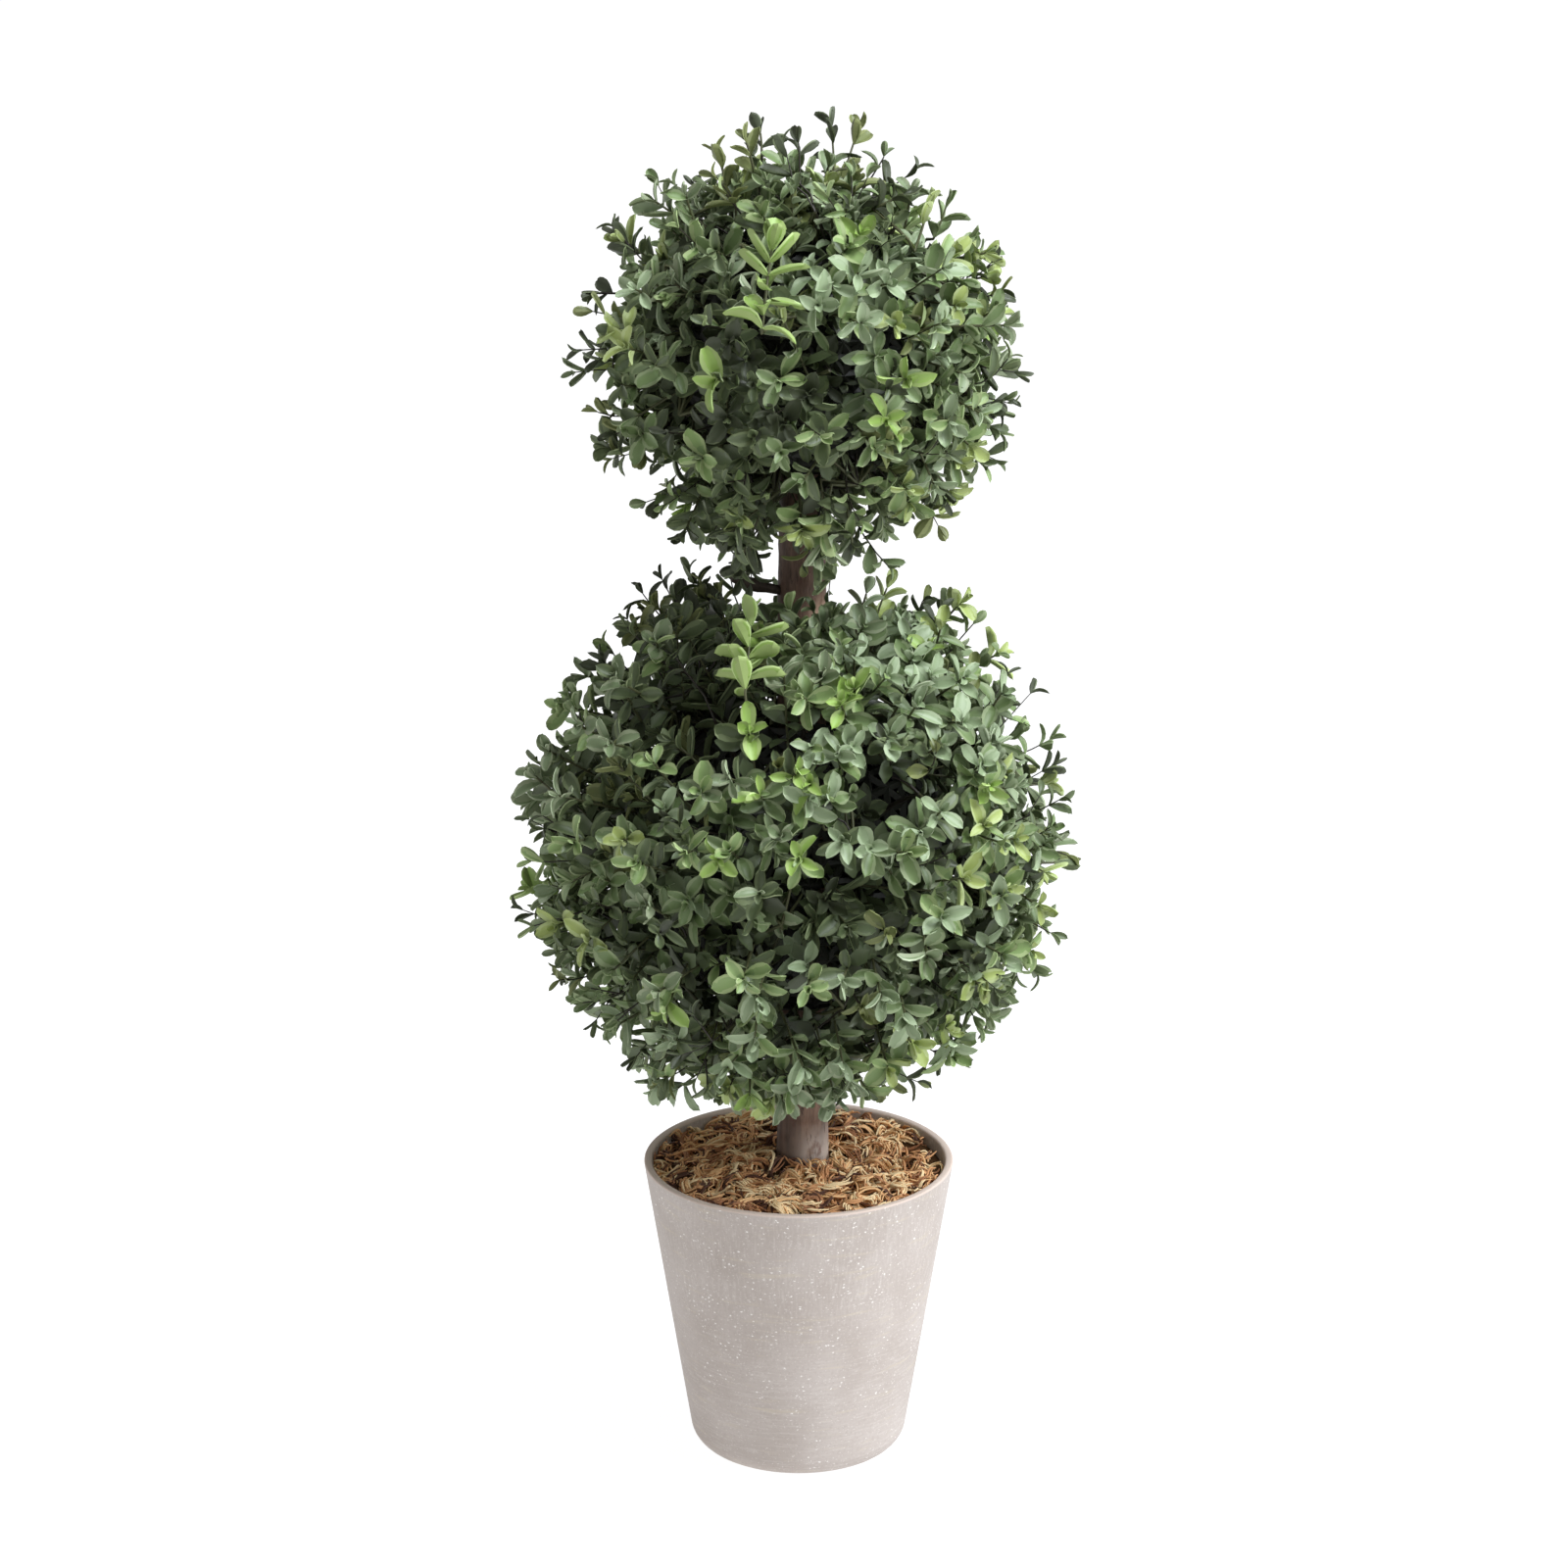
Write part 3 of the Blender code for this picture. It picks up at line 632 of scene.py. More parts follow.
def trunk_bark():
    """Dried natural bark: thin, smooth, brown with red-brown scars and a grey dust bloom at the
    foot, the bloom kept to the right as a painted highlight, and painted shade down the left side.
    """
    made, tree, shader = new_material("dried_smooth_bark", "#7A6256", 0.62, 0.38)
    place = add_node(tree, "ShaderNodeTexCoord").outputs["Object"]
    parts = add_node(tree, "ShaderNodeSeparateXYZ", {0: place})
    across, height = parts.outputs[0], parts.outputs[2]
    drawn = add_node(tree, "ShaderNodeMapping", {"Vector": place, "Scale": (1.0, 1.0, 0.16)})
    tall = add_node(tree, "ShaderNodeMapping", {"Vector": place, "Scale": (1.0, 1.0, 0.6)})
    grain, mottle, blotches, cracks = (
        add_node(tree, NOISE, {"Vector": where, "Scale": 1 / (width * MM), "Detail": detail, **more})
        for where, width, detail, more in (
            (drawn, 4.5, 6.0, {"Roughness": 0.6}), (place, 9.0, 4.0, {}),
            (tall, 6.0, 3.0, {}), (drawn, 1.6, 3.0, {"Distortion": 0.6}),
        )
    )
    # rubbed bare and pale at one place in the neck
    spot = (-13 * MM, 9 * MM, -431 * MM)
    moved = add_node(tree, "ShaderNodeMapping", {"Vector": place, "Location": spot})
    flatter = add_node(tree, VECTOR_MATH, {0: moved, 1: (1.0, 0.8, 0.6)}, operation="MULTIPLY")
    away = add_node(tree, VECTOR_MATH, {0: flatter}, operation="LENGTH")
    # the last mask darkens the left side, away from the light, as painted shade
    tone, rubbed, low, side, spread, blotch, crack, painted_shade_left = (
        add_node(tree, RANGE, {0: source, 1: start, 2: end, 3: first, 4: last})
        for source, start, end, first, last in (
            (grain, 0.34, 0.66, 0.0, 1.0), (away, 12 * MM, 7 * MM, 0.0, 0.85),
            (height, 158 * MM, 176 * MM, 0.95, 0.06), (across, -8 * MM, 6 * MM, 0.15, 1.0),
            (mottle, 0.30, 0.52, 0.0, 1.0), (blotches, 0.59, 0.69, 0.0, 0.68),
            (cracks, 0.40, 0.30, 0.0, 0.7), (across, 3 * MM, -9 * MM, 0.0, 0.66),
        )
    )
    bloom = add_node(tree, MATH, {0: low, 1: spread}, operation="MULTIPLY")
    # the dust bloom shows mostly on the lit right side: a painted highlight
    dust_bloom_lit_right = add_node(tree, MATH, {0: bloom, 1: side}, operation="MULTIPLY")
    shown = linear("#4B372C")
    # grain, the bare place, a dust bloom low down kept mostly to the right as a painted highlight,
    # scars, cracks, and painted shade on the left side
    for mask, colour in (
        (tone, "#8E705E"), (rubbed, "#CBA78E"), (dust_bloom_lit_right, "#C6B8AE"),
        (blotch, "#69443A"), (crack, "#35261F"), (painted_shade_left, "#3C2B22"),
    ):
        shown = add_node(tree, MIX, {0: mask, 6: shown, 7: linear(colour)}, data_type="RGBA")
    relief = add_node(tree, MATH, {0: grain, 1: crack}, operation="SUBTRACT")
    dress(tree, shader, shown, relief, 0.6, 0.5 * MM)
    return made


def dark_twig_bark():
    """A dark, dry twig's bark: nearly black and a little rough."""
    made, tree, shader = new_material("dark_twig_bark", "#2C241E", 0.7, 0.3)
    place = add_node(tree, "ShaderNodeTexCoord").outputs["Object"]
    grain = add_node(tree, NOISE, {"Vector": place, "Scale": 1 / (2 * MM), "Detail": 4.0})
    ends = {6: linear("#1E1814"), 7: linear("#4A3E34")}
    tone = add_node(tree, MIX, {0: grain, **ends}, data_type="RGBA")
    dress(tree, shader, tone, grain, 0.6, 0.3 * MM)
    return made


def coir_fibre(name, colour):
    """Coconut fibre, dried: a faint waxy sheen along each strand."""
    return new_material("coir_fibre_" + name, colour, 0.62, 0.35)[0]


def moulded_leaf(name, colour, roughness):
    """Moulded polyethylene: satin, with soft broad highlights, and a plain colour."""
    return new_material("moulded_leaf_" + name, colour, roughness, 0.5)[0]


def moulded_stem(name, colour):
    """Moulded polyethylene stem: satin and dark."""
    return new_material("moulded_stem_" + name, colour, 0.5, 0.4)[0]


def leaf_materials():
    """Four materials for each shade, in the order of the leaf's own parts."""
    finishes = (("heart", 0.44), ("blade", 0.46), ("margin", 0.50), ("under", 0.62))
    return [
        moulded_leaf(f"{name}_{part}", colour, roughness)
        for name, colours in SHADES.items()
        for colour, (part, roughness) in zip(colours, finishes)
    ]


# ---------------------------------------------------------------- pot


def build_pot():
    """A turned cup: a cylinder drawn out to the rim, hollowed, then rounded at foot and lip."""
    deselect()
    bpy.ops.mesh.primitive_cylinder_add(
        vertices=POT_SIDES, radius=FOOT_RADIUS, depth=POT_HEIGHT, location=(0.0, 0.0, POT_HEIGHT / 2)
    )
    pot = bpy.context.object
    apply_place(pot)
    start_edit(pot)
    select_mode("VERT")
    pick(pot, lambda co: co.z > POT_HEIGHT / 2)
    spread = RIM_RADIUS / FOOT_RADIUS
    bpy.ops.transform.resize(value=(spread, spread, 1.0), center_override=(0.0, 0.0, POT_HEIGHT))
    select_mode("FACE")
    pick(pot, lambda co: co.z > POT_HEIGHT - MM, "faces")
    bpy.ops.mesh.inset(thickness=WALL / math.cos(DRAFT))
    depth = POT_HEIGHT - WALL
    inner_rim = RIM_RADIUS - WALL / math.cos(DRAFT)
    narrow = (inner_rim - depth * math.tan(DRAFT)) / inner_rim
    bpy.ops.mesh.extrude_region_move(TRANSFORM_OT_translate={"value": (0.0, 0.0, -depth)})
    bpy.ops.transform.resize(value=(narrow, narrow, 1.0), center_override=(0.0, 0.0, WALL))
    select_mode("EDGE")
    pick(pot, lambda co: co.z < MM, "edges")
    foot_offset = FOOT_ROUND * math.tan((math.pi / 2 - DRAFT) / 2)
    bpy.ops.mesh.bevel(offset=foot_offset, segments=10, profile=0.5)
    pick(pot, lambda co: co.z > POT_HEIGHT - 0.1 * MM, "edges")
    bpy.ops.mesh.bevel(offset=LIP_ROUND, segments=4, profile=0.5)
    bpy.ops.mesh.select_all(action="SELECT")
    bpy.ops.mesh.normals_make_consistent(inside=False)
    end_edit()
    shade(pot, 30.0)
    pot.data.materials.append(pot_composite())
    finish_piece(pot, "speckled_pot", "pot")


# ---------------------------------------------------------------- tubes


def tubes(name, paths, materials, sides=0):
    """One mesh of many thin tubes. Each path is (points, radii, material number)."""
    curve = bpy.data.curves.new(name, "CURVE")
    curve.dimensions = "3D"
    curve.bevel_depth = 1.0
    curve.bevel_resolution = sides
    curve.use_fill_caps = True
    for made in materials:
        curve.materials.append(made)
    for points, radii, number in paths:
        line = curve.splines.new("POLY")
        line.points.add(len(points) - 1)
        for spot, point, radius in zip(line.points, points, radii):
            spot.co = (*point, 1.0)
            spot.radius = radius
        line.material_index = number
    select_only(place_new(name, curve))
    bpy.ops.object.convert(target="MESH")
    bpy.ops.object.shade_smooth()
    return bpy.context.object


# ---------------------------------------------------------------- coir


def coir_height(x, y):
    """How high the loose strands lie: a lumpy low heap, higher in front and at the trunk."""
    share = min(1.0, math.hypot(x, y) / COIR_RADIUS)
    dome = COIR_EDGE + COIR_CROWN * (1.0 - share * share)
    lumps = noise((x / COIR_LUMP_WIDTH, y / COIR_LUMP_WIDTH, 3.7)) * COIR_LUMPS
    off_trunk = (math.hypot(x, y) - TRUNK_RADII[0][1] * MM) / COIR_COLLAR_WIDTH
    collar = COIR_COLLAR * max(0.0, 1.0 - off_trunk)
    return dome + lumps + collar + COIR_HEAP * max(0.0, -y / COIR_RADIUS)


def bunch(chance):
    """Curled strands side by side: parts of nested loops of any tilt, drawn out on the heap."""
    share = math.sqrt(chance.uniform(0.03, 1.0))
    bearing = chance.uniform(0.0, 2.0 * math.pi)
    reach = BUNCH_REACH
    spot = Vector((share * reach * math.cos(bearing), share * reach * math.sin(bearing), 0.0))
    tilt = Vector((chance.gauss(0.0, BUNCH_TILT), chance.gauss(0.0, BUNCH_TILT), 1.0)).normalized()
    loop = turned_frame(tilt, chance.uniform(0.0, 2.0 * math.pi))
    curl = chance.uniform(*STRAND_CURL) * MM
    way = chance.choice((-1, 1))
    length = chance.uniform(*STRAND_LENGTH) * MM
    drift = scattered(chance, 5.0 * MM)
    lift = chance.uniform(*STRAND_LIFT) * MM
    for number in range(chance.choice(BUNCH_STRANDS)):
        wide = curl + number * chance.uniform(0.7, 1.7) * MM
        sweep = way * min(STRAND_SWEEP, length * chance.uniform(0.7, 1.1) / wide)
        shift = chance.uniform(-0.25, 0.25) * sweep
        stray = scattered(chance, 1.6 * MM)
        points = []
        for step in range(STRAND_STEPS + 1):
            along = step / STRAND_STEPS - 0.5
            angle = sweep * along + shift
            ring = loop @ Vector((0.0, wide * math.cos(angle) - curl, wide * math.sin(angle)))
            point = spot + ring + (drift + stray) * along
            off = point.xy.length
            if off > reach:
                point.x, point.y = point.x * reach / off, point.y * reach / off
            height = coir_height(point.x, point.y)
            ceiling = COIR_CEILING + max(0.0, 1.0 - off / (60 * MM)) * 5.0 * MM
            point.z = min(height + lift + max(-1.4 * MM, min(3.4 * MM, point.z)), ceiling)
            points.append(point)
        yield points, chance.uniform(*STRAND_RADIUS)


def build_coir():
    """Loose curled strands on the bed, and plain materials for the bed and for the cement."""
    chance = random.Random(5)
    paths = []
    middle = trunk_centre(COIR_EDGE).xy
    for _ in range(BUNCH_COUNT):
        strands = list(bunch(chance))
        centre = strands[0][0][STRAND_STEPS // 2]
        # bunches are dealt redder and darker colours in patches, and darker ones in hollows and
        # towards the left as painted shade
        flat = COIR_EDGE + COIR_LUMPS
        hollow = min(1.0, max(0.0, 0.4 - (coir_height(*centre.xy) - flat) / COIR_LUMPS))
        patch = noise((centre.x / COIR_PATCH_WIDTH, centre.y / COIR_PATCH_WIDTH, 11.3))
        # the darkening in hollows and on the left side is painted shade; the patch term is the
        # fibre's own colour
        patches_and_painted_shade = hollow + 0.4 * max(0.0, -centre.x / (75 * MM)) + 1.4 * max(0.0, patch)
        golden = max(0.0, -1.6 * patch)
        shares = (
            0.24 + golden, 0.40 + golden, 0.20 + 0.2 * patches_and_painted_shade, 0.02 + 0.36 * patches_and_painted_shade, 0.01 + 0.30 * patches_and_painted_shade
        )
        main = chance.choices(range(5), shares)[0]
        for points, radius in strands:
            clear = trunk_radius(COIR_EDGE) + radius
            if min((point.xy - middle).length for point in points) < clear:
                continue
            last = len(points) - 1
            swell = [math.sin(math.pi * (0.1 + 0.8 * i / last)) for i in range(last + 1)]
            radii = [radius * (0.4 + 0.6 * part) for part in swell]
            near = max(0, min(4, main + chance.choice((-1, 0, 0, 0, 1))))
            paths.append((points, radii, near))
    loose = tubes("coir_strands", paths, [coir_fibre(*colour) for colour in COIR_COLOURS.items()])
    finish_piece(loose, "coir_strands")
    for node, made in (("coir_fill", coir_bed()), ("cement_plug", cast_cement())):
        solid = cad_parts[node]
        solid.data.materials.clear()
        solid.data.materials.append(made)


# ---------------------------------------------------------------- trunk


def trunk_centre(height):
    """The trunk's centre line, which leans and sways a little."""
    share = (height - TRUNK_FOOT) / (TRUNK_TIP - TRUNK_FOOT)
    low, high = TRUNK_OFFSET
    sway = TRUNK_SWAY * math.sin(2.0 * math.pi * share)
    return Vector((low + (high - low) * share + sway, 0.6 * sway, height))


def trunk_radius(height):
    share = min(1.0, max(0.0, (height - TRUNK_FOOT) / (TRUNK_TIP - TRUNK_FOOT)))
    return MM * between(TRUNK_RADII, share)


def build_trunk(bark):
    """A pole drawn to the trunk's taper and sway ring by ring, then given lumps and bark."""
    length = TRUNK_TIP - TRUNK_FOOT
    deselect()
    middle = (0.0, 0.0, (TRUNK_FOOT + TRUNK_TIP) / 2)
    bpy.ops.mesh.primitive_cylinder_add(
        vertices=TRUNK_SIDES, radius=1.0, depth=length, end_fill_type="TRIFAN", location=middle
    )
    trunk = bpy.context.object
    apply_place(trunk)
    start_edit(trunk)
    select_mode("EDGE")
    shape = bmesh.from_edit_mesh(trunk.data)
    for edge in shape.edges:
        low, high = edge.verts
        edge.select_set(abs(low.co.z - high.co.z) > length / 2)
    bmesh.update_edit_mesh(trunk.data)
    bpy.ops.mesh.subdivide(number_cuts=TRUNK_RINGS)
    select_mode("VERT")
    step = length / (TRUNK_RINGS + 1)
    for ring in range(TRUNK_RINGS + 2):
        height = TRUNK_FOOT + step * ring
        pick(trunk, lambda co: abs(co.z - height) < step / 4)
        radius = trunk_radius(height)
        bpy.ops.transform.resize(value=(radius, radius, 1.0), center_override=(0.0, 0.0, height))
        centre = trunk_centre(height)
        bpy.ops.transform.translate(value=(centre.x, centre.y, 0.0))
    end_edit()
    roughen(trunk, "bark_lumps", 18 * MM, 1.6 * MM, 2)
    finer = trunk.modifiers.new("finer", "SUBSURF")
    finer.levels = finer.render_levels = 1
    roughen(trunk, "bark_ridges", 3.5 * MM, 0.7 * MM, 3)
    apply_modifiers(trunk)
    shade(trunk, 60.0)
    trunk.data.materials.append(bark)
    finish_piece(trunk, "trunk_bark", "trunk")


def shoot_line(steps):
    """The side shoot's middle line, from the trunk's own middle outwards."""
    start = trunk_centre(SHOOT_HEIGHT)
    outwards = Vector(SHOOT_AXIS).normalized()
    for step in range(steps + 1):
        share = step / steps
        yield start + outwards * SHOOT_REACH * share + Vector((0.0, 0.0, SHOOT_RISE * share * share))


def build_side_shoot(bark):
    points = list(shoot_line(8))[2:]
    made = tubes("side_shoot", [(points, SHOOT_RADII, 0)], [bark], sides=3)
    roughen(made, "shoot_ridges", 3.5 * MM, 0.8 * MM, 3)
    apply_modifiers(made)
    finish_piece(made, "side_shoot_bark", "neck_shoot")


# ---------------------------------------------------------------- leaf


# how a leaf is kept to be copied: the items of its mesh, what is read of them, its type and width
LEAF_ARRAYS = {
    "corners": ("vertices", "co", np.float32, 3),
    "edges": ("edges", "vertices", np.int32, 2),
    "sharp": ("edges", "use_edge_sharp", bool, 1),
    "loop_corners": ("loops", "vertex_index", np.int32, 1),
    "loop_edges": ("loops", "edge_index", np.int32, 1),
    "starts": ("polygons", "loop_start", np.int32, 1),
    "parts": ("polygons", "material_index", np.int32, 1),
}


def model_leaf(width, cup, arch, droop, tip, point, twist, rows=6, columns=4):
    """A leaf of unit length along +X, its upper side to +Z: a cupped, twisted blade with a margin.

    Part 0 is the heart, 1 the blade, 2 the margin and 3 the underside.
    """
    deselect()
    bpy.ops.mesh.primitive_grid_add(
        x_subdivisions=rows, y_subdivisions=columns, size=1.0, location=(0.5, 0.0, 0.0)
    )
    leaf = bpy.context.object
    apply_place(leaf)
    for _ in range(PARTS):
        leaf.data.materials.append(None)
    for face in leaf.data.polygons:
        at_margin = columns == 4 and abs(face.center.y) > 0.25
        face.material_index = 2 if at_margin else 0 if face.center.x < 0.33 else 1
    start_edit(leaf)
    select_mode("VERT")
    pick(leaf, lambda co: 0.2 < abs(co.y) < 0.3)
    bpy.ops.transform.resize(value=(1.0, 1.70, 1.0), center_override=(0.5, 0.0, 0.0))
    pick(leaf, lambda co: abs(co.y) > 0.1)
    bpy.ops.transform.translate(value=(0.0, 0.0, cup * 0.66))
    pick(leaf, lambda co: abs(co.y) > 0.45)
    bpy.ops.transform.translate(value=(0.0, 0.0, cup * 0.34))
    widths = (*LEAF_WIDTHS, tip)
    for row in range(rows, -1, -1):
        step = row * (len(widths) - 1) // rows
        along = LEAF_STATIONS[step]
        pick(leaf, lambda co: abs(co.x - row / rows) < 0.4 / rows)
        wide = widths[step] * width
        deep = math.sin(math.pi * min(1.0, 0.12 + 0.88 * widths[step]) / 2)
        bpy.ops.transform.resize(value=(1.0, wide, deep), center_override=(row / rows, 0.0, 0.0))
        bow = arch * math.sin(math.pi * along) - droop * along * along
        bpy.ops.transform.translate(value=(along - row / rows + 2.0, 0.0, bow))
        turn = math.radians(twist * (along - 0.3))
        centre = (along + 2.0, 0.0, bow)
        bpy.ops.transform.rotate(value=turn, orient_axis="X", center_override=centre)
    pick(leaf, lambda co: co.x > 2.99 and abs(co.y) < 1e-4)
    bpy.ops.transform.translate(value=(point, 0.0, 0.0))
    bpy.ops.mesh.select_all(action="SELECT")
    bpy.ops.transform.translate(value=(-2.0, 0.0, 0.0))
    add_underside(leaf)
    end_edit()
    shade(leaf, 62.0)
    return leaf_pattern(leaf)


def add_underside(leaf):
    """Backs the blade with an underside of two long halves that meets it at the margin."""
    select_mode("FACE")
    bpy.ops.mesh.select_all(action="SELECT")
    bpy.ops.mesh.duplicate()
    bpy.ops.mesh.flip_normals()
    leaf.active_material_index = 3
    bpy.ops.object.material_slot_assign()
    shape = bmesh.from_edit_mesh(leaf.data)
    under = [face for face in shape.faces if face.material_index == 3]
    edges = {edge for face in under for edge in face.edges if edge.is_boundary}
    rim = {corner for edge in edges for corner in edge.verts}
    for corner in {corner for face in under for corner in face.verts} - rim:
        corner.co.z -= UNDERSIDE_SAG
    bmesh.update_edit_mesh(leaf.data)
    bpy.ops.mesh.select_all(action="SELECT")
    bpy.ops.mesh.remove_doubles(threshold=1e-5)
    select_mode("EDGE")
    bpy.ops.mesh.select_all(action="DESELECT")
    shape = bmesh.from_edit_mesh(leaf.data)
    for edge in shape.edges:
        first, second = (corner.co for corner in edge.verts)
        lengthwise = abs(first.x - second.x) > abs(first.y - second.y)
        off_midrib = min(abs(first.y), abs(second.y)) > 0.002
        below = all(face.material_index == 3 for face in edge.link_faces)
        edge.select_set(lengthwise and off_midrib and below)
    bmesh.update_edit_mesh(leaf.data)
    bpy.ops.mesh.dissolve_edges(use_verts=True)


def leaf_pattern(leaf):
    """Reads a modelled leaf into arrays. The leaf itself goes."""
    pattern = {}
    for key, (items, name, kind, width) in LEAF_ARRAYS.items():
        found = getattr(leaf.data, items)
        values = np.zeros(len(found) * width, dtype=kind)
        found.foreach_get(name, values)
        pattern[key] = values if width == 1 else values.reshape(-1, width)
    bpy.data.objects.remove(leaf)
    return pattern


def scatter(name, patterns, places, materials):
    """Joins many copies of the patterns into one mesh.

    A place is (pattern number, matrix, shade number).
    """
    arrays = {key: [] for key in LEAF_ARRAYS}
    totals = {"corners": 0, "edges": 0, "loop_corners": 0}
    for kind, pattern in enumerate(patterns):
        group = [(matrix, shade_number) for number, matrix, shade_number in places if number == kind]
        if not group:
            continue
        turns = np.array([matrix.to_3x3() for matrix, _ in group]).transpose(0, 2, 1)
        shifts = np.array([matrix.translation for matrix, _ in group])
        shades = np.array([shade_number for _, shade_number in group])
        count = np.arange(len(group))[:, None]
        steps = {key: count * len(pattern[key]) + total for key, total in totals.items()}
        copies = {
            "corners": pattern["corners"] @ turns + shifts[:, None, :],
            "edges": pattern["edges"] + steps["corners"][:, :, None],
            "sharp": np.tile(pattern["sharp"], len(group)),
            "loop_corners": pattern["loop_corners"] + steps["corners"],
            "loop_edges": pattern["loop_edges"] + steps["edges"],
            "starts": pattern["starts"] + steps["loop_corners"],
            "parts": pattern["parts"] + PARTS * shades[:, None],
        }
        for key, values in copies.items():
            arrays[key].append(values.ravel())
        for key in totals:
            totals[key] += len(group) * len(pattern[key])
    flat = {key: np.concatenate(parts) for key, parts in arrays.items()}
    mesh = bpy.data.meshes.new(name)
    mesh.vertices.add(totals["corners"])
    mesh.edges.add(totals["edges"])
    mesh.loops.add(totals["loop_corners"])
    mesh.polygons.add(len(flat["starts"]))
    for material in materials:
        mesh.materials.append(material)
    for key, (items, read, kind, _) in LEAF_ARRAYS.items():
        getattr(mesh, items).foreach_set(read, flat[key].astype(kind))
    mesh.polygons.foreach_set("use_smooth", np.ones(len(flat["starts"]), dtype=bool))
    mesh.update()
    mesh.validate()
    return place_new(name, mesh)


# ---------------------------------------------------------------- foliage


def facings(count):
    """Directions on a golden-angle spiral."""
    for index in range(count):
        height = 1.0 - 2.0 * (index + 0.5) / count
        spread = math.sqrt(1.0 - height * height)
        turn = index * GOLDEN_ANGLE
        yield Vector((spread * math.cos(turn), spread * math.sin(turn), height))


def scattered(chance, size):
    return Vector([chance.uniform(-size, size) for _ in range(3)])


def reach_share(ball, facing):
    """How far the ball's foliage reaches in a direction, in radii."""
    angle = math.degrees(math.acos(max(-1.0, min(1.0, facing.z))))
    side = 1.0 + ball.left_swell * max(0.0, -facing.x)
    side -= ball.right_dent * max(0.0, facing.x) * max(0.0, facing.z)
    return side * between(ball.profile, angle)


def clear_of_limbs(points, limits):
    """True if the points keep to the ball's own space and off the trunk."""
    for point in points:
        if not limits[0] < point.z < limits[1]:
            return False
        off = point - trunk_centre(point.z)
        if point.z < TRUNK_TIP + TRUNK_ROOM and off.length < trunk_radius(point.z) + TRUNK_ROOM:
            return False
    return True


def main_shoots(ball):
    """The ball's main shoots, on the solids' own spiral: each from the frame to half way out."""
    chance = random.Random(ball.seed)
    centre = Vector(ball.centre)
    for facing in facings(ball.shoots):
        facing = (facing + scattered(chance, DIRECTION_JITTER)).normalized()
        start = centre + facing * ball.radius * FRAME_SHARE * 0.97
        knee = centre + facing * ball.radius * chance.uniform(*KNEE_REACH)
        if clear_of_limbs([start, knee], ball.limits):
            yield start, knee


def leaf_matrix(root, axis_frame, angle, size, chance, narrow=1.0):
    """The place of a leaf that opens from its twig by an angle, with a little play in every turn."""
    roll, sway, open_out, twist = (
        Matrix.Rotation(math.radians(turn + chance.gauss(0.0, play)), 3, axis)
        for turn, play, axis in zip((0.0, 0.0, angle, 0.0), LEAF_PLAY, "XZYX")
    )
    length = LEAF_LENGTH * size * chance.uniform(0.82, 1.08)
    scale = Matrix.Diagonal((length, length * narrow * chance.uniform(0.90, 1.10), length))
    turned = axis_frame @ (roll @ sway) @ open_out @ twist @ scale
    return Matrix.Translation(root) @ turned.to_4x4()


def sight_line(pixel):
    """The direction from the camera through a pixel of its frame."""
    across = (pixel[0] - FRAME_PIXELS / 2) / FOCAL_PIXELS
    down = (pixel[1] - FRAME_PIXELS / 2) / FOCAL_PIXELS
    ahead = Vector((0.0, math.cos(CAMERA_PITCH), -math.sin(CAMERA_PITCH)))
    upwards = Vector((0.0, math.sin(CAMERA_PITCH), math.cos(CAMERA_PITCH)))
    return (ahead + Vector((1.0, 0.0, 0.0)) * across - upwards * down).normalized()


def seen_on(ball, pixel, reach):
    """Where a pixel's line meets the ball's foliage, or comes nearest to its middle."""
    origin, line, centre = CAMERA_PLACE, sight_line(pixel), Vector(ball.centre)
    spot = origin + line * (centre - origin).dot(line)
    facing = (spot - centre).normalized()
    for _ in range(4):
        radius = ball.radius * reach_share(ball, facing) * reach
        off = (origin + line * (centre - origin).dot(line) - centre).length
        back = math.sqrt(max(0.0, radius * radius - off * off))
        spot = origin + line * ((centre - origin).dot(line) - back)
        facing = (spot - centre).normalized()
    return spot


@dataclass
class Shoot:
    """A fine shoot with leaves: a straight end with a rosette on it, or a loose bent wisp."""

    tip: Vector
    axis: Vector
    length: float
    pairs: tuple
    shades: tuple  # what its tip, its middle and its deep leaves are dealt from
    narrow: float = 1.0
    size: float = 1.0
    bend: Vector = Vector()
    root: Vector = None  # where it is joined on, if not on the nearest main shoot

    def at(self, back):
        """The point so far back from the tip, along the shoot's bend."""
        share = back / self.length
        return self.tip - self.axis * back + self.bend * share * share

    def along(self, back):
        """The shoot's direction at that point."""
        step = 0.5 * MM
        return (self.at(back) - self.at(back + step)).normalized()


def to_pixel(point):
    """Where a point shows in the camera's frame."""
    off = point - CAMERA_PLACE
    ahead = off.y * math.cos(CAMERA_PITCH) - off.z * math.sin(CAMERA_PITCH)
    rise = off.y * math.sin(CAMERA_PITCH) + off.z * math.cos(CAMERA_PITCH)
    across = FRAME_PIXELS / 2 + FOCAL_PIXELS * off.x / ahead
    return Vector((across, FRAME_PIXELS / 2 - FOCAL_PIXELS * rise / ahead))


def pocket_share(ball, point, facing, to_camera):
    """How far into one of the ball's hollows a point is: 1 in its middle, 0 outside."""
    if facing.dot(to_camera) < 0.2:
        return 0.0
    spot, share = to_pixel(point), 0.0
    for across, down, width in ball.pockets:
        near = (spot - Vector((across, down))).length / width
        share = max(share, min(1.0, 2.0 - 2.0 * near))
    return share


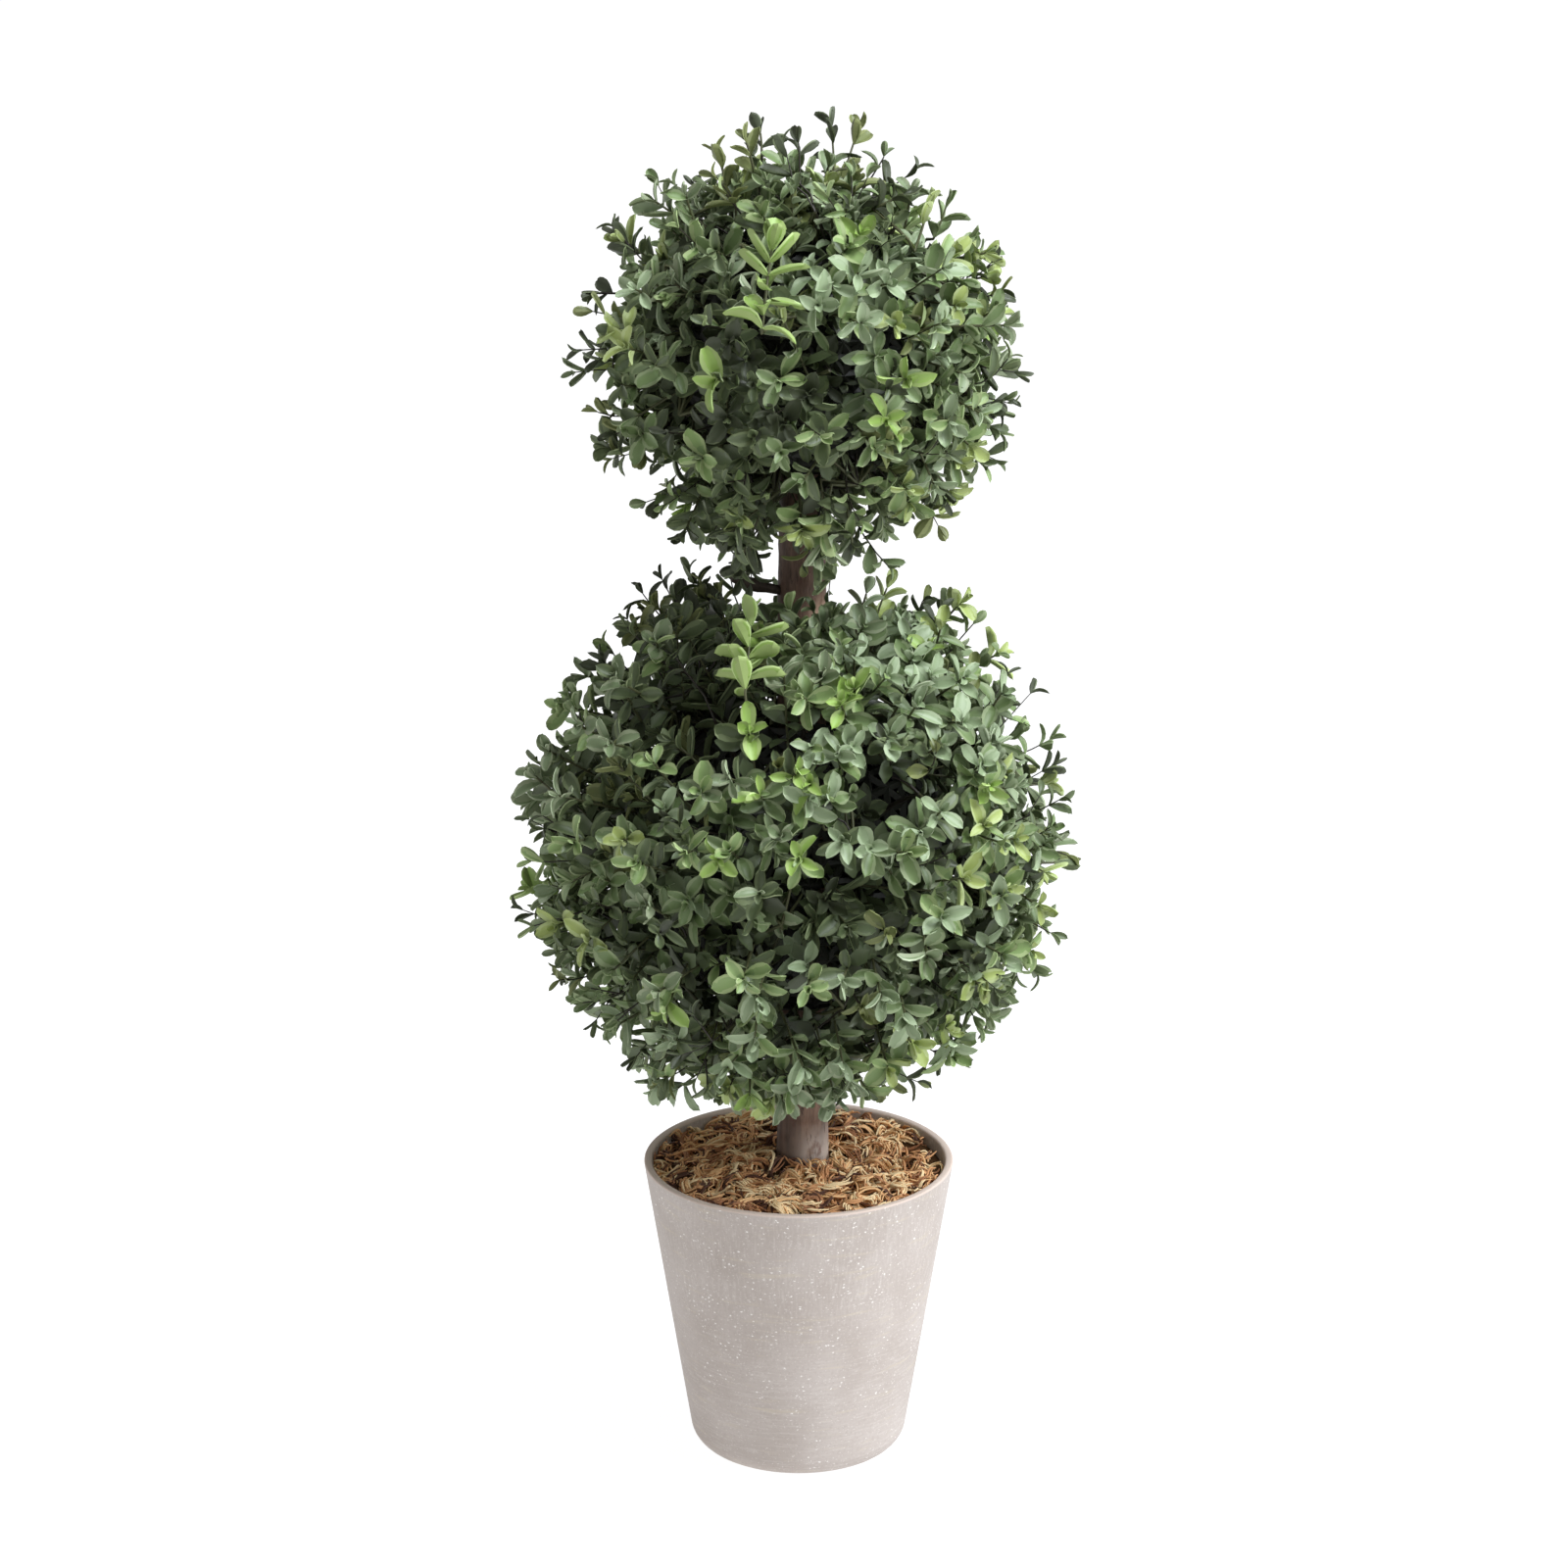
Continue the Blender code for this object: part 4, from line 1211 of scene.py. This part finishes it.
def leafy_shoots(ball):
    """The ball's fine shoots with a rosette at each tip, on a golden-angle spiral.

    Each deals from a seed of its own, so that a change to one leaves the others as they are.
    """
    centre, made = Vector(ball.centre), []
    to_camera = (CAMERA_PLACE - centre).normalized()
    length = FINE_LENGTH * ball.radius
    for number, facing in enumerate(facings(ball.shoots * FINE_PER_SHOOT)):
        chance = random.Random(ball.seed * SEED_STEP + number)
        facing = (facing + scattered(chance, DIRECTION_JITTER)).normalized()
        lift = Vector((0.0, 0.0, RISE * max(0.0, facing.z)))
        axis = facing + scattered(chance, math.tan(LEAN)) + lift
        reach = ball.radius * reach_share(ball, facing) * chance.uniform(*REACH) - TIP_ROOM
        hollow = pocket_share(ball, centre + facing * reach, facing, to_camera)
        reach -= POCKET_DEPTH * hollow
        # sprays facing the lit right and top are dealt paler shades, the others darker: painted
        # light and shade, with some dusty bloom
        painted_light_score = facing.x + 0.3 * facing.z + ball.painted_light_bias
        front_deal = LIT_SIDE_DEAL if chance.uniform(-1.0, 1.0) < painted_light_score else SHADED_SIDE_DEAL
        tip_deal = front_deal if facing.dot(to_camera) > 0.1 else FAR_DEAL
        shades = (deal(chance, tip_deal), deal(chance, BACK_DEAL), DEEP_DEAL)
        # leaves deep in a hollow are dealt dark shades as painted shade
        if hollow > 0.5:
            shades = (deal(chance, POCKET_PAINTED_SHADE_DEAL), "deep_green", DEEP_DEAL)
        shoot = Shoot(centre + facing * reach, axis.normalized(), length, LEAFY_PAIRS, shades)
        shoot.narrow, shoot.size = chance.uniform(0.84, 1.06), chance.uniform(0.84, 1.04)
        made.append(shoot)
    free = list(made)
    # placed tips take shades partly for the leaves' own colour and partly as painted light and
    # shade, pale where light falls and dark in shaded places
    for shade_name, reach, pixels in ball.placed_tips:
        for pixel in pixels:
            chance = random.Random(FRAME_PIXELS * pixel[1] + pixel[0])
            spot = seen_on(ball, pixel, reach)
            shoot = min(free, key=lambda one: (one.tip - spot).length)
            free.remove(shoot)
            facing = (spot - centre).normalized()
            shoot.tip = spot
            outwards = facing + scattered(chance, 0.4)
            if reach < 1.0:
                outwards += to_camera * chance.uniform(0.1, 0.6)
            shoot.axis = outwards.normalized()
            # leaves behind a placed tip are dealt darker shades on the shaded left: painted shade
            behind = "deep_green"
            if shade_name != "dark_green" and chance.uniform(-1.0, 1.0) < facing.x + 0.4:
                behind = chance.choice(("new_green", "mid_green"))
            shoot.shades = (shade_name, behind, DEEP_DEAL)
            shoot.narrow, shoot.size = chance.uniform(0.92, 1.06), chance.uniform(0.82, 0.98)
    return made


def at_depth(pixel, depth):
    """The point of a pixel's line that is so far ahead of the camera."""
    line = sight_line(pixel)
    return CAMERA_PLACE + line * depth / line.dot(sight_line(MIDDLE))


def depth_of(point):
    return (point - CAMERA_PLACE).dot(sight_line(MIDDLE))


def long_sprays(ball, chance):
    """The longer sprays that show, each along its own line, with pairs of leaves all the way.

    A stack stands up off the front of the ball, the others rise from inside it to its outline.
    """
    for shade_name, tip_pixel, root_pixel, kind in ball.sprays:
        tip, root = seen_on(ball, tip_pixel, 1.0), seen_on(ball, root_pixel, 1.0)
        if kind == "stack":
            tip = at_depth(tip_pixel, 0.4 * depth_of(tip) + 0.6 * depth_of(root))
        else:
            root = at_depth(root_pixel, depth_of(tip))
        shades = (shade_name, shade_name, DEEP_DEAL)
        spray = Shoot(tip, (tip - root).normalized(), (tip - root).length, SPRAY_PAIRS[kind], shades)
        spray.narrow = 1.12 if kind == "stack" else 1.0
        spray.bend = scattered(chance, 3 * MM)
        yield spray


def wisps(ball, chance):
    """Loose bent twigs with small narrow leaves and spurs that stand out of the clipped outline."""
    centre, made = Vector(ball.centre), []
    to_camera = (CAMERA_PLACE - centre).normalized()
    ends = [seen_on(ball, pixel, 1.0) for pixel in ball.long_tips]
    for facing in facings(int(ball.shoots * WISPS)):
        facing = (facing + scattered(chance, 0.2)).normalized()
        reach = ball.radius * reach_share(ball, facing) * chance.uniform(*WISP_REACH)
        if abs(facing.dot(to_camera)) > 0.3:
            ends.append(centre + facing * reach)
    for end in ends:
        facing = (end - centre).normalized()
        axis = (facing + scattered(chance, 0.5) + Vector((0.0, 0.0, 0.2))).normalized()
        bend = (axis - facing) * 0.024 + scattered(chance, 6 * MM)
        length = chance.uniform(*WISP_LENGTH)
        shades = (deal(chance, WISP_DEAL), deal(chance, WISP_DEAL), DEEP_DEAL)
        narrow = chance.uniform(0.85, 1.2)
        twig = Shoot(end - axis * 8.0 * MM, axis, length, WISP_PAIRS, shades, narrow, bend=bend)
        made.append(twig)
        for _ in range(chance.choice((0, 0, 1, 1))):
            root = twig.at(chance.uniform(*SPUR_ROOT) * MM)
            aside = (axis + scattered(chance, 0.9)).normalized()
            reach = chance.uniform(*SPUR_LENGTH) * MM
            spur = Shoot(root + aside * reach, aside, reach, SPUR_PAIRS, shades, narrow, root=root)
            made.append(spur)
    return made


def leaves_on(shoot, ball, chance, loose):
    """Opposite pairs of leaves along a shoot, each pair a quarter turn on from the last."""
    roll = chance.uniform(0.0, 2.0 * math.pi)
    places = []
    for number, (back, angle, size) in enumerate(shoot.pairs):
        if back * MM > shoot.length:
            break
        root = shoot.at(back * MM)
        shoot_frame = turned_frame(shoot.along(back * MM), roll)
        for half_turn in (0.0, math.pi):
            around = shoot_frame @ Matrix.Rotation(half_turn + number * math.pi / 2, 3, "X")
            matrix = leaf_matrix(root, around, angle, size * shoot.size, chance, shoot.narrow)
            tip = matrix @ Vector((1.0, 0.0, 0.0))
            middle = matrix @ Vector((0.5, 0.0, 0.0))
            if not clear_of_limbs([root, middle, tip], ball.limits):
                continue
            at_tip = number < 3 and chance.random() < SIDE_SHARE
            name = shoot.shades[0] if at_tip else shoot.shades[1]
            kind = chance.choice(BLADES)
            if loose:
                kind = chance.choice(WISP_BLADES)
                if number > 0 and chance.random() < WISP_BARE:
                    continue
            elif shoot.pairs[number] in DEEP_PAIRS:
                name, kind = deal(chance, shoot.shades[2]), DEEP_BLADE
            elif number > 1 and chance.random() < BARE:
                continue
            places.append((kind, matrix, SHADE_NAMES.index(name)))
    return places


def grow_ball(ball):
    """All twigs and leaves of a ball: (twig paths, leaf places)."""
    chance = random.Random(ball.seed + SEED_STEP)
    shoots = list(main_shoots(ball))
    knees = [knee for _, knee in shoots]
    paths, places = [], []
    for start, knee in shoots:
        middle = (start + knee) / 2 + scattered(chance, 1.5 * MM)
        paths.append(([start, middle, knee], MAIN_RADII, 0))
    fine = [(shoot, False) for shoot in leafy_shoots(ball)]
    fine += [(shoot, True) for shoot in wisps(ball, chance)]
    fine += [(shoot, shoot.pairs is WISP_PAIRS) for shoot in long_sprays(ball, chance)]
    for number, (shoot, loose) in enumerate(fine):
        chance = random.Random(SEED_STEP * (ball.seed + 1) - number)
        for share in SHORTER:
            base = shoot.at(shoot.length * share)
            if clear_of_limbs([base, shoot.tip], ball.limits):
                break
        else:
            continue
        shoot.length *= share
        stops = [shoot.at(shoot.length * part) for part in (1.0, 0.75, 0.5, 0.25, 0.0)]
        if shoot.root:
            points = stops
        else:
            knee = min(knees, key=lambda spot: (spot - base).length)
            points = [knee, (knee + base) / 2 + scattered(chance, 2.0 * MM), *stops]
        thick = WISP_RADIUS if loose else FINE_RADIUS
        radii = [(thick + RADIUS_STEP * (len(points) - i)) * MM for i in range(len(points))]
        paths.append((points, radii, 0 if loose else 1))
        places += leaves_on(shoot, ball, chance, loose)
    return paths, places


def build_frame(ball, plastic):
    """The plastic frame inside a ball: a sphere's edges as bars, open where the trunk runs."""
    deselect()
    bpy.ops.mesh.primitive_ico_sphere_add(
        subdivisions=4, radius=ball.radius * FRAME_SHARE, location=ball.centre
    )
    made = bpy.context.object
    apply_place(made)
    start_edit(made)
    select_mode("VERT")

    def by_trunk(co):
        off = co - trunk_centre(co.z)
        return co.z < TRUNK_TIP and off.length < trunk_radius(co.z) + FRAME_ROOM

    pick(made, by_trunk)
    bpy.ops.mesh.delete(type="VERT")
    end_edit()
    bars = made.modifiers.new("bars", "WIREFRAME")
    bars.thickness = FRAME_BAR
    apply_modifiers(made)
    shade(made, 50.0)
    made.data.materials.append(plastic)
    finish_piece(made, ball.name + "_frame")


def build_ball(ball, patterns, materials, stems):
    paths, places = grow_ball(ball)
    twigs = tubes(ball.name + "_twigs", paths, stems)
    finish_piece(twigs, ball.name + "_twigs")
    costs = [len(pattern["loop_corners"]) - 2 * len(pattern["starts"]) for pattern in patterns]
    count = math.ceil(sum(costs[kind] for kind, _, _ in places) / PIECE_TRIANGLES)
    share = math.ceil(len(places) / count)
    for number in range(count):
        name = f"{ball.name}_leaves_{number + 1}"
        made = scatter(name, patterns, places[number * share : (number + 1) * share], materials)
        finish_piece(made, name, ball.name + "_ball")


# ---------------------------------------------------------------- stage


def build_stage():
    """A pale floor that glows faintly, as over a light table, under an even white sky."""
    deselect()
    bpy.ops.mesh.primitive_plane_add(size=FLOOR_SIZE, location=(0.0, 0.0, 0.0))
    floor = bpy.context.object
    floor.name = "pale_floor"
    made, _, shader = new_material("pale_studio_paper", "#808080", 1.0, 0.0)
    shader.inputs["Emission Color"].default_value = WHITE
    shader.inputs["Emission Strength"].default_value = FLOOR_GLOW
    floor.data.materials.append(made)
    world = bpy.data.worlds.new("studio")
    bpy.context.scene.world = world
    world.use_nodes = True
    background = world.node_tree.nodes["Background"]
    background.inputs["Color"].default_value = WHITE
    background.inputs["Strength"].default_value = SKY_STRENGTH


def add_softbox(name, azimuth, elevation, distance, height, size, energy):
    """A square softbox, its azimuth counted from straight in front towards the right."""
    lamp = bpy.data.lights.new(name, "AREA")
    lamp.shape = "SQUARE"
    lamp.size = size
    lamp.energy = energy
    lamp.color = KEY_COLOUR
    made = place_new(name, lamp)
    turn, rise = math.radians(azimuth), math.radians(elevation)
    level = math.cos(rise)
    towards = Vector((math.sin(turn) * level, -math.cos(turn) * level, math.sin(rise)))
    made.location = Vector((0.0, 0.0, height)) + towards * distance
    made.rotation_euler = towards.to_track_quat("Z", "Y").to_euler()


def build_camera():
    view = bpy.data.cameras.new("view")
    view.sensor_width = SENSOR_WIDTH
    view.lens = SENSOR_WIDTH * FOCAL_PIXELS / FRAME_PIXELS
    made = place_new("view", view)
    made.location = CAMERA_PLACE
    made.rotation_euler = (math.pi / 2 - CAMERA_PITCH, 0.0, 0.0)
    bpy.context.scene.camera = made


def main():
    build_camera()
    build_stage()
    for name, numbers in SOFTBOXES.items():
        add_softbox(name, *numbers)
    bpy.context.scene.view_settings.view_transform = "Standard"
    build_pot()
    build_coir()
    build_trunk(trunk_bark())
    build_side_shoot(dark_twig_bark())
    patterns = [model_leaf(*shape) for shape in LEAF_SHAPES.values()]
    patterns.append(model_leaf(*LEAF_SHAPES["broad"], rows=3, columns=2))
    materials = leaf_materials()
    stems = [moulded_stem("dark", "#2B261E"), moulded_stem("green", "#4C4E33")]
    plastic = moulded_stem("frame", "#1F2119")
    for ball in (LOWER, UPPER):
        build_frame(ball, plastic)
        build_ball(ball, patterns, materials, stems)


main()
